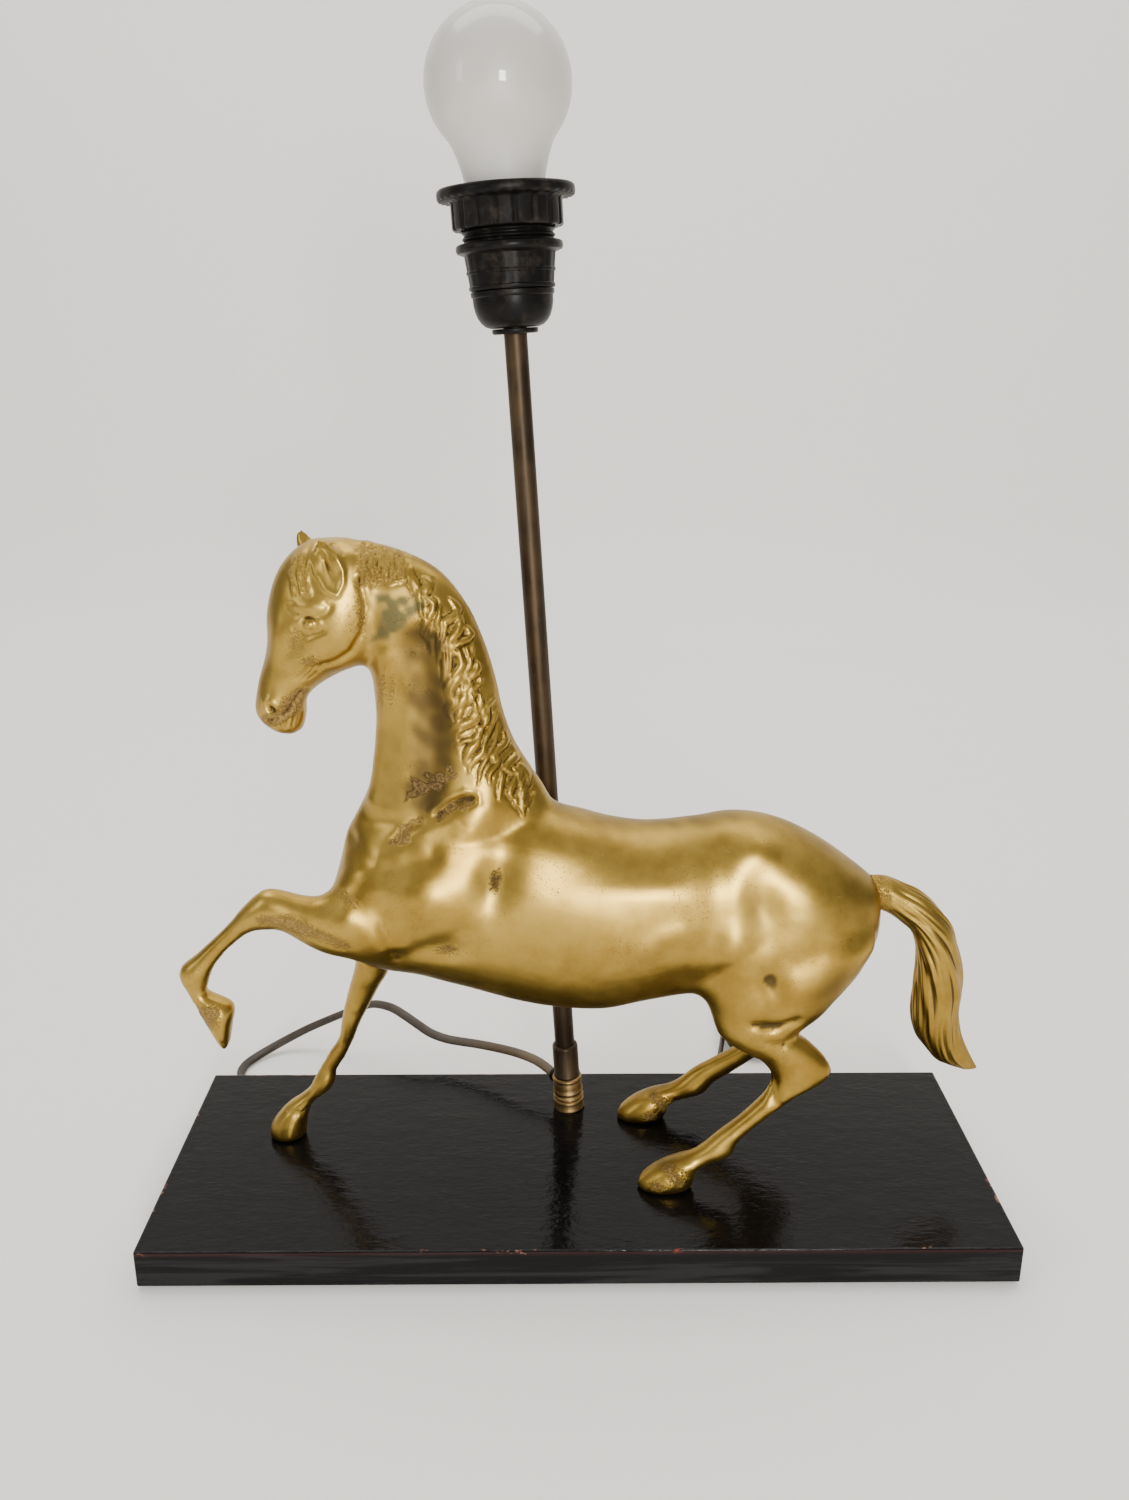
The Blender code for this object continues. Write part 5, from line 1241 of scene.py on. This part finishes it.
def build_shade_ring(finish):
    """A wide rounded flange over a skirt with finger notches cut in its lower edge."""
    low = HOLDER_BASE + 41.5
    rim = low + 11.7
    profile = [(19.9, low + 0.2), (22.5, low), (23.0, low + 0.3), (23.3, low + 0.9),
               (23.3, rim - 1.6), (23.7, rim - 0.8), (25.0, rim - 0.3), (28.1, rim - 0.1),
               (28.6, rim + 0.5), (28.75, rim + 1.4), (28.75, rim + 2.6), (28.5, rim + 3.6),
               (27.8, rim + 4.2), (26.5, rim + 4.4), (21.2, rim + 4.3), (19.9, rim + 3.9)]
    ring = on_stem("shade_ring_moulded", profile, finish, "shade_ring",
                   body="shade_ring", steps=216, smooth=50)

    notches = 18

    def notched(angle, out, height):
        notch = ((np.cos(angle * notches) > 0.55) & (out > 22) & (out < 23.6)
                 & (height < low + 10.3))
        under = (out > 24.5) & (height < low + 12.6)
        factor = 1 - np.where(notch, 1.25 / np.maximum(out, 1), 0)
        return factor, np.where(under, 0.25 * np.cos(angle * 2 * notches), 0)

    reshape_on_stem(ring, notched)


def build_bulb():
    """A frosted envelope, and its screw cap with a thread that climbs."""
    base = HOLDER_BASE
    glass = Finish("frosted_glass", (0.80, 0.77, 0.72), 0.30, Transmission_Weight=0.42,
                   IOR=1.45, Specular_IOR_Level=0.5, Coat_Weight=0.6, Coat_Roughness=0.06)
    # Painted light and shade: the evenly frosted glass is painted lighter round the neck and darker
    # from the globe's middle up
    height = glass.axis("Z")
    glass.set("Base Color", glass.blend(glass.step(height, 0.43, 0.50), (0.93, 0.91, 0.87),
                                        (0.84, 0.81, 0.76)))
    glass.set("Roughness", 0.34 + 0.16 * glass.noise(50, 3))
    glass.relief((glass.noise(1300, 3), 0.12, 0.0001))
    neck = base + 41.2
    middle = base + 96
    radius = 30
    wall = 1.0
    outer = [(12.1, neck), (12.3, neck + 3.8), (12.9, base + 47.2), (14.4, base + 50),
             (15.5, base + 54), (16.35, base + 58), (17.4, base + 63), (18.9, base + 68.5),
             (20.7, base + 73)]
    for degrees in range(-42, 90, 6):
        angle = math.radians(degrees)
        outer.append((radius * math.cos(angle), middle + radius * math.sin(angle)))
    outer.append((0, middle + radius))
    inner = [(0, middle + radius - wall)]
    for out, high in reversed(outer[:-1]):
        inner.append((max(out - wall, 0.02), high - wall * max(0, (high - middle) / radius)))
    on_stem("bulb_envelope", outer + inner, glass, "bulb_glass", body="bulb",
            smooth=60)

    metal = Finish("bulb_cap_metal", (0.62, 0.60, 0.56), 0.34, 1.0)
    metal.set("Base Color", metal.blend(metal.noise(180, 4), (0.45, 0.43, 0.39),
                                        (0.70, 0.68, 0.63)))
    metal.set("Roughness", 0.26 + 0.22 * metal.noise(120, 4))
    metal.relief((metal.noise(420, 3), 0.15, 0.0002))
    low = base + 21.5
    tall = 23.1
    cap_radius = 13.1
    pitch = 3.63

    def thread(turn, along):
        angle = 2 * np.pi * turn
        rise = along * 24
        ripple = 0.5 + 0.5 * np.cos(2 * np.pi * ((rise - 4.0) / pitch - turn))
        inside = smoothstep(rise, 3.4, 5.0) * (1 - smoothstep(rise, 17.4, 19.4))
        out = cap_radius - 1.1 * (1 - ripple ** 0.7) * inside
        out -= 5.2 * (1 - smoothstep(rise, 0.2, 3.6)) ** 1.5
        out = np.where(rise > 19.0, cap_radius, out)
        return np.stack([out * np.cos(angle), out * np.sin(angle), low + along * tall],
                        axis=1) * MM

    cap = piece("bulb_screw_cap", wrapped(72, 78, thread, caps=False), metal, body="bulb",
                replaces=("bulb_cap",), smooth=60, matrix=STEM)
    sheet = cap.modifiers.new("wall", "SOLIDIFY")
    sheet.thickness = 0.35 * MM
    sheet.offset = -1


# ---------------------------------------------------------------- finishes of the CAD nodes

def lacquer_finish():
    """Black lacquer with a rippled gloss on top, grain on the sides, and red-brown wear
    along the top edges."""
    finish = Finish("black_lacquer", (0.006, 0.0055, 0.006), 0.10, Specular_IOR_Level=0.10,
                    Coat_Weight=0.2, Coat_Roughness=0.04)
    top = finish.step(finish.axis("Z"), BOARD_TOP - 1.0 * MM, BOARD_TOP - 0.3 * MM)
    grain = finish.noise(26, 6, 0.62, (0.35, 1, 7), 1.2)
    fibres = finish.noise(120, 4, 0.7, (0.10, 1, 2.6))
    side = 1 - top
    rim = finish.math("MAXIMUM", *(
        finish.step(finish.math("ABSOLUTE", finish.axis(letter), 0),
                    half - 2.2 * MM, half - 0.8 * MM)
        for letter, half in (("X", BOARD_HALF_X), ("Y", BOARD_HALF_Y))))
    edge = finish.step(finish.axis("Z"), BOARD_TOP - 3.2 * MM, BOARD_TOP - 0.6 * MM) * rim
    chips = finish.step(finish.noise(75, 5, 0.7, (0.45, 1, 1)) + edge * 0.05, 0.62, 0.66)
    chipped = chips * edge
    dusty = finish.step(grain, 0.42, 0.62) * side
    tint = finish.blend(dusty, (0.0045, 0.0044, 0.0046), (0.016, 0.0155, 0.0160))
    tint = finish.blend(edge * side * 0.55, tint, (0.040, 0.012, 0.010))
    finish.set("Base Color", finish.blend(chipped, tint, finish.blend(
        finish.step(fibres, 0.45, 0.6), (0.13, 0.028, 0.02), (0.34, 0.17, 0.12))))
    smear = finish.noise(9, 4, 0.6)
    finish.set("Roughness", 0.045 + 0.05 * smear + 0.33 * side + 0.3 * chipped)
    finish.set("Coat Weight", 0.05 - 0.04 * side)
    peel = finish.noise(520, 3, 0.6, (0.45, 1, 1))
    swell = finish.noise(120, 3, 0.6, (0.5, 1, 1))
    finish.relief((swell * top, 0.5, 0.0007), (peel * top, 0.6, 0.0003),
                  (grain * side, 0.9, 0.0008), (fibres * side, 0.6, 0.0004),
                  (1 - chipped, 0.7, 0.0004))
    return finish


def finish_cad_nodes(bakelite, brown):
    """Gives each CAD node that stays its finish by its material slot."""
    felt = Finish("green_felt", (0.030, 0.085, 0.042), 0.95, Sheen_Weight=0.3)
    felt.set("Base Color", felt.blend(felt.noise(260, 5, 0.8), (0.018, 0.055, 0.028),
                                      (0.05, 0.125, 0.065)))
    felt.relief((felt.noise(900, 4, 0.8), 0.8, 0.0004))
    steel = Finish("steel", (0.50, 0.50, 0.49), 0.35, 1.0)
    steel.set("Roughness", 0.25 + 0.3 * steel.noise(160, 4))
    steel.relief((steel.noise(700, 3), 0.2, 0.0001))
    porcelain = Finish("porcelain", (0.78, 0.76, 0.70), 0.22, Coat_Weight=0.5)
    porcelain.set("Base Color", porcelain.blend(porcelain.noise(70, 4), (0.70, 0.67, 0.60),
                                                (0.84, 0.82, 0.77)))
    contact = Finish("contact_brass", (0.70, 0.52, 0.25), 0.3, 1.0)
    contact.set("Base Color", contact.blend(contact.noise(200, 4), (0.55, 0.38, 0.16),
                                            (0.80, 0.62, 0.33)))
    contact.set("Roughness", 0.2 + 0.25 * contact.noise(150, 4))
    clear = Finish("clear_glass", (0.95, 0.97, 0.96), 0.03, Transmission_Weight=1.0, IOR=1.5)
    clear.set("Roughness", 0.02 + 0.05 * clear.noise(90, 2))
    wire = Finish("tungsten", (0.35, 0.35, 0.36), 0.4, 1.0)
    wire.set("Roughness", 0.35 + 0.2 * wire.noise(300, 2))
    rubber = Finish("core_insulation", (0.30, 0.12, 0.05), 0.5)
    rubber.set("Base Color", rubber.blend(rubber.noise(90, 3), (0.22, 0.085, 0.035),
                                          (0.38, 0.17, 0.07)))
    jacket = Finish("inner_flex", (0.16, 0.12, 0.07), 0.45)
    jacket.set("Roughness", 0.35 + 0.25 * jacket.noise(150, 3))
    finishes = {
        "cast_brass": brown, "stem_brass": brown, "steel": steel, "black_lacquer": lacquer_finish(),
        "green_felt": felt, "bakelite": bakelite, "porcelain": porcelain,
        "contact_brass": contact, "bulb_cap_metal": steel, "frosted_glass": clear,
        "clear_glass": clear, "tungsten": wire, "flex": jacket, "core_insulation": rubber,
        "plug_plastic": bakelite, "paper_tie": jacket,
    }
    slots = {part["node"]: part["material_slot"] for part in frame["record"]["subparts"]}
    for name, node in frame["nodes"].items():
        for slot in node.material_slots:
            slot.material = finishes[slots[name]].material


build_camera()
build_room()
flex_piece, flex_path = build_flex()
plug_pieces = build_plug()
tie_piece = build_tie()
brass = brass_finish()
build_horse(brass)
build_tail(brass)
brown_brass = old_brass_finish("stem_brass", (0.030, 0.019, 0.010), (0.070, 0.044, 0.022), 0.75)
bright_brass = old_brass_finish("foot_brass", (0.14, 0.088, 0.036), (0.34, 0.225, 0.095))
black_resin = bakelite_finish()
build_stem(brown_brass, bright_brass, black_resin)
build_shade_ring(black_resin)
build_bulb()
finish_cad_nodes(black_resin, brown_brass)

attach(flex_piece, "lamp")
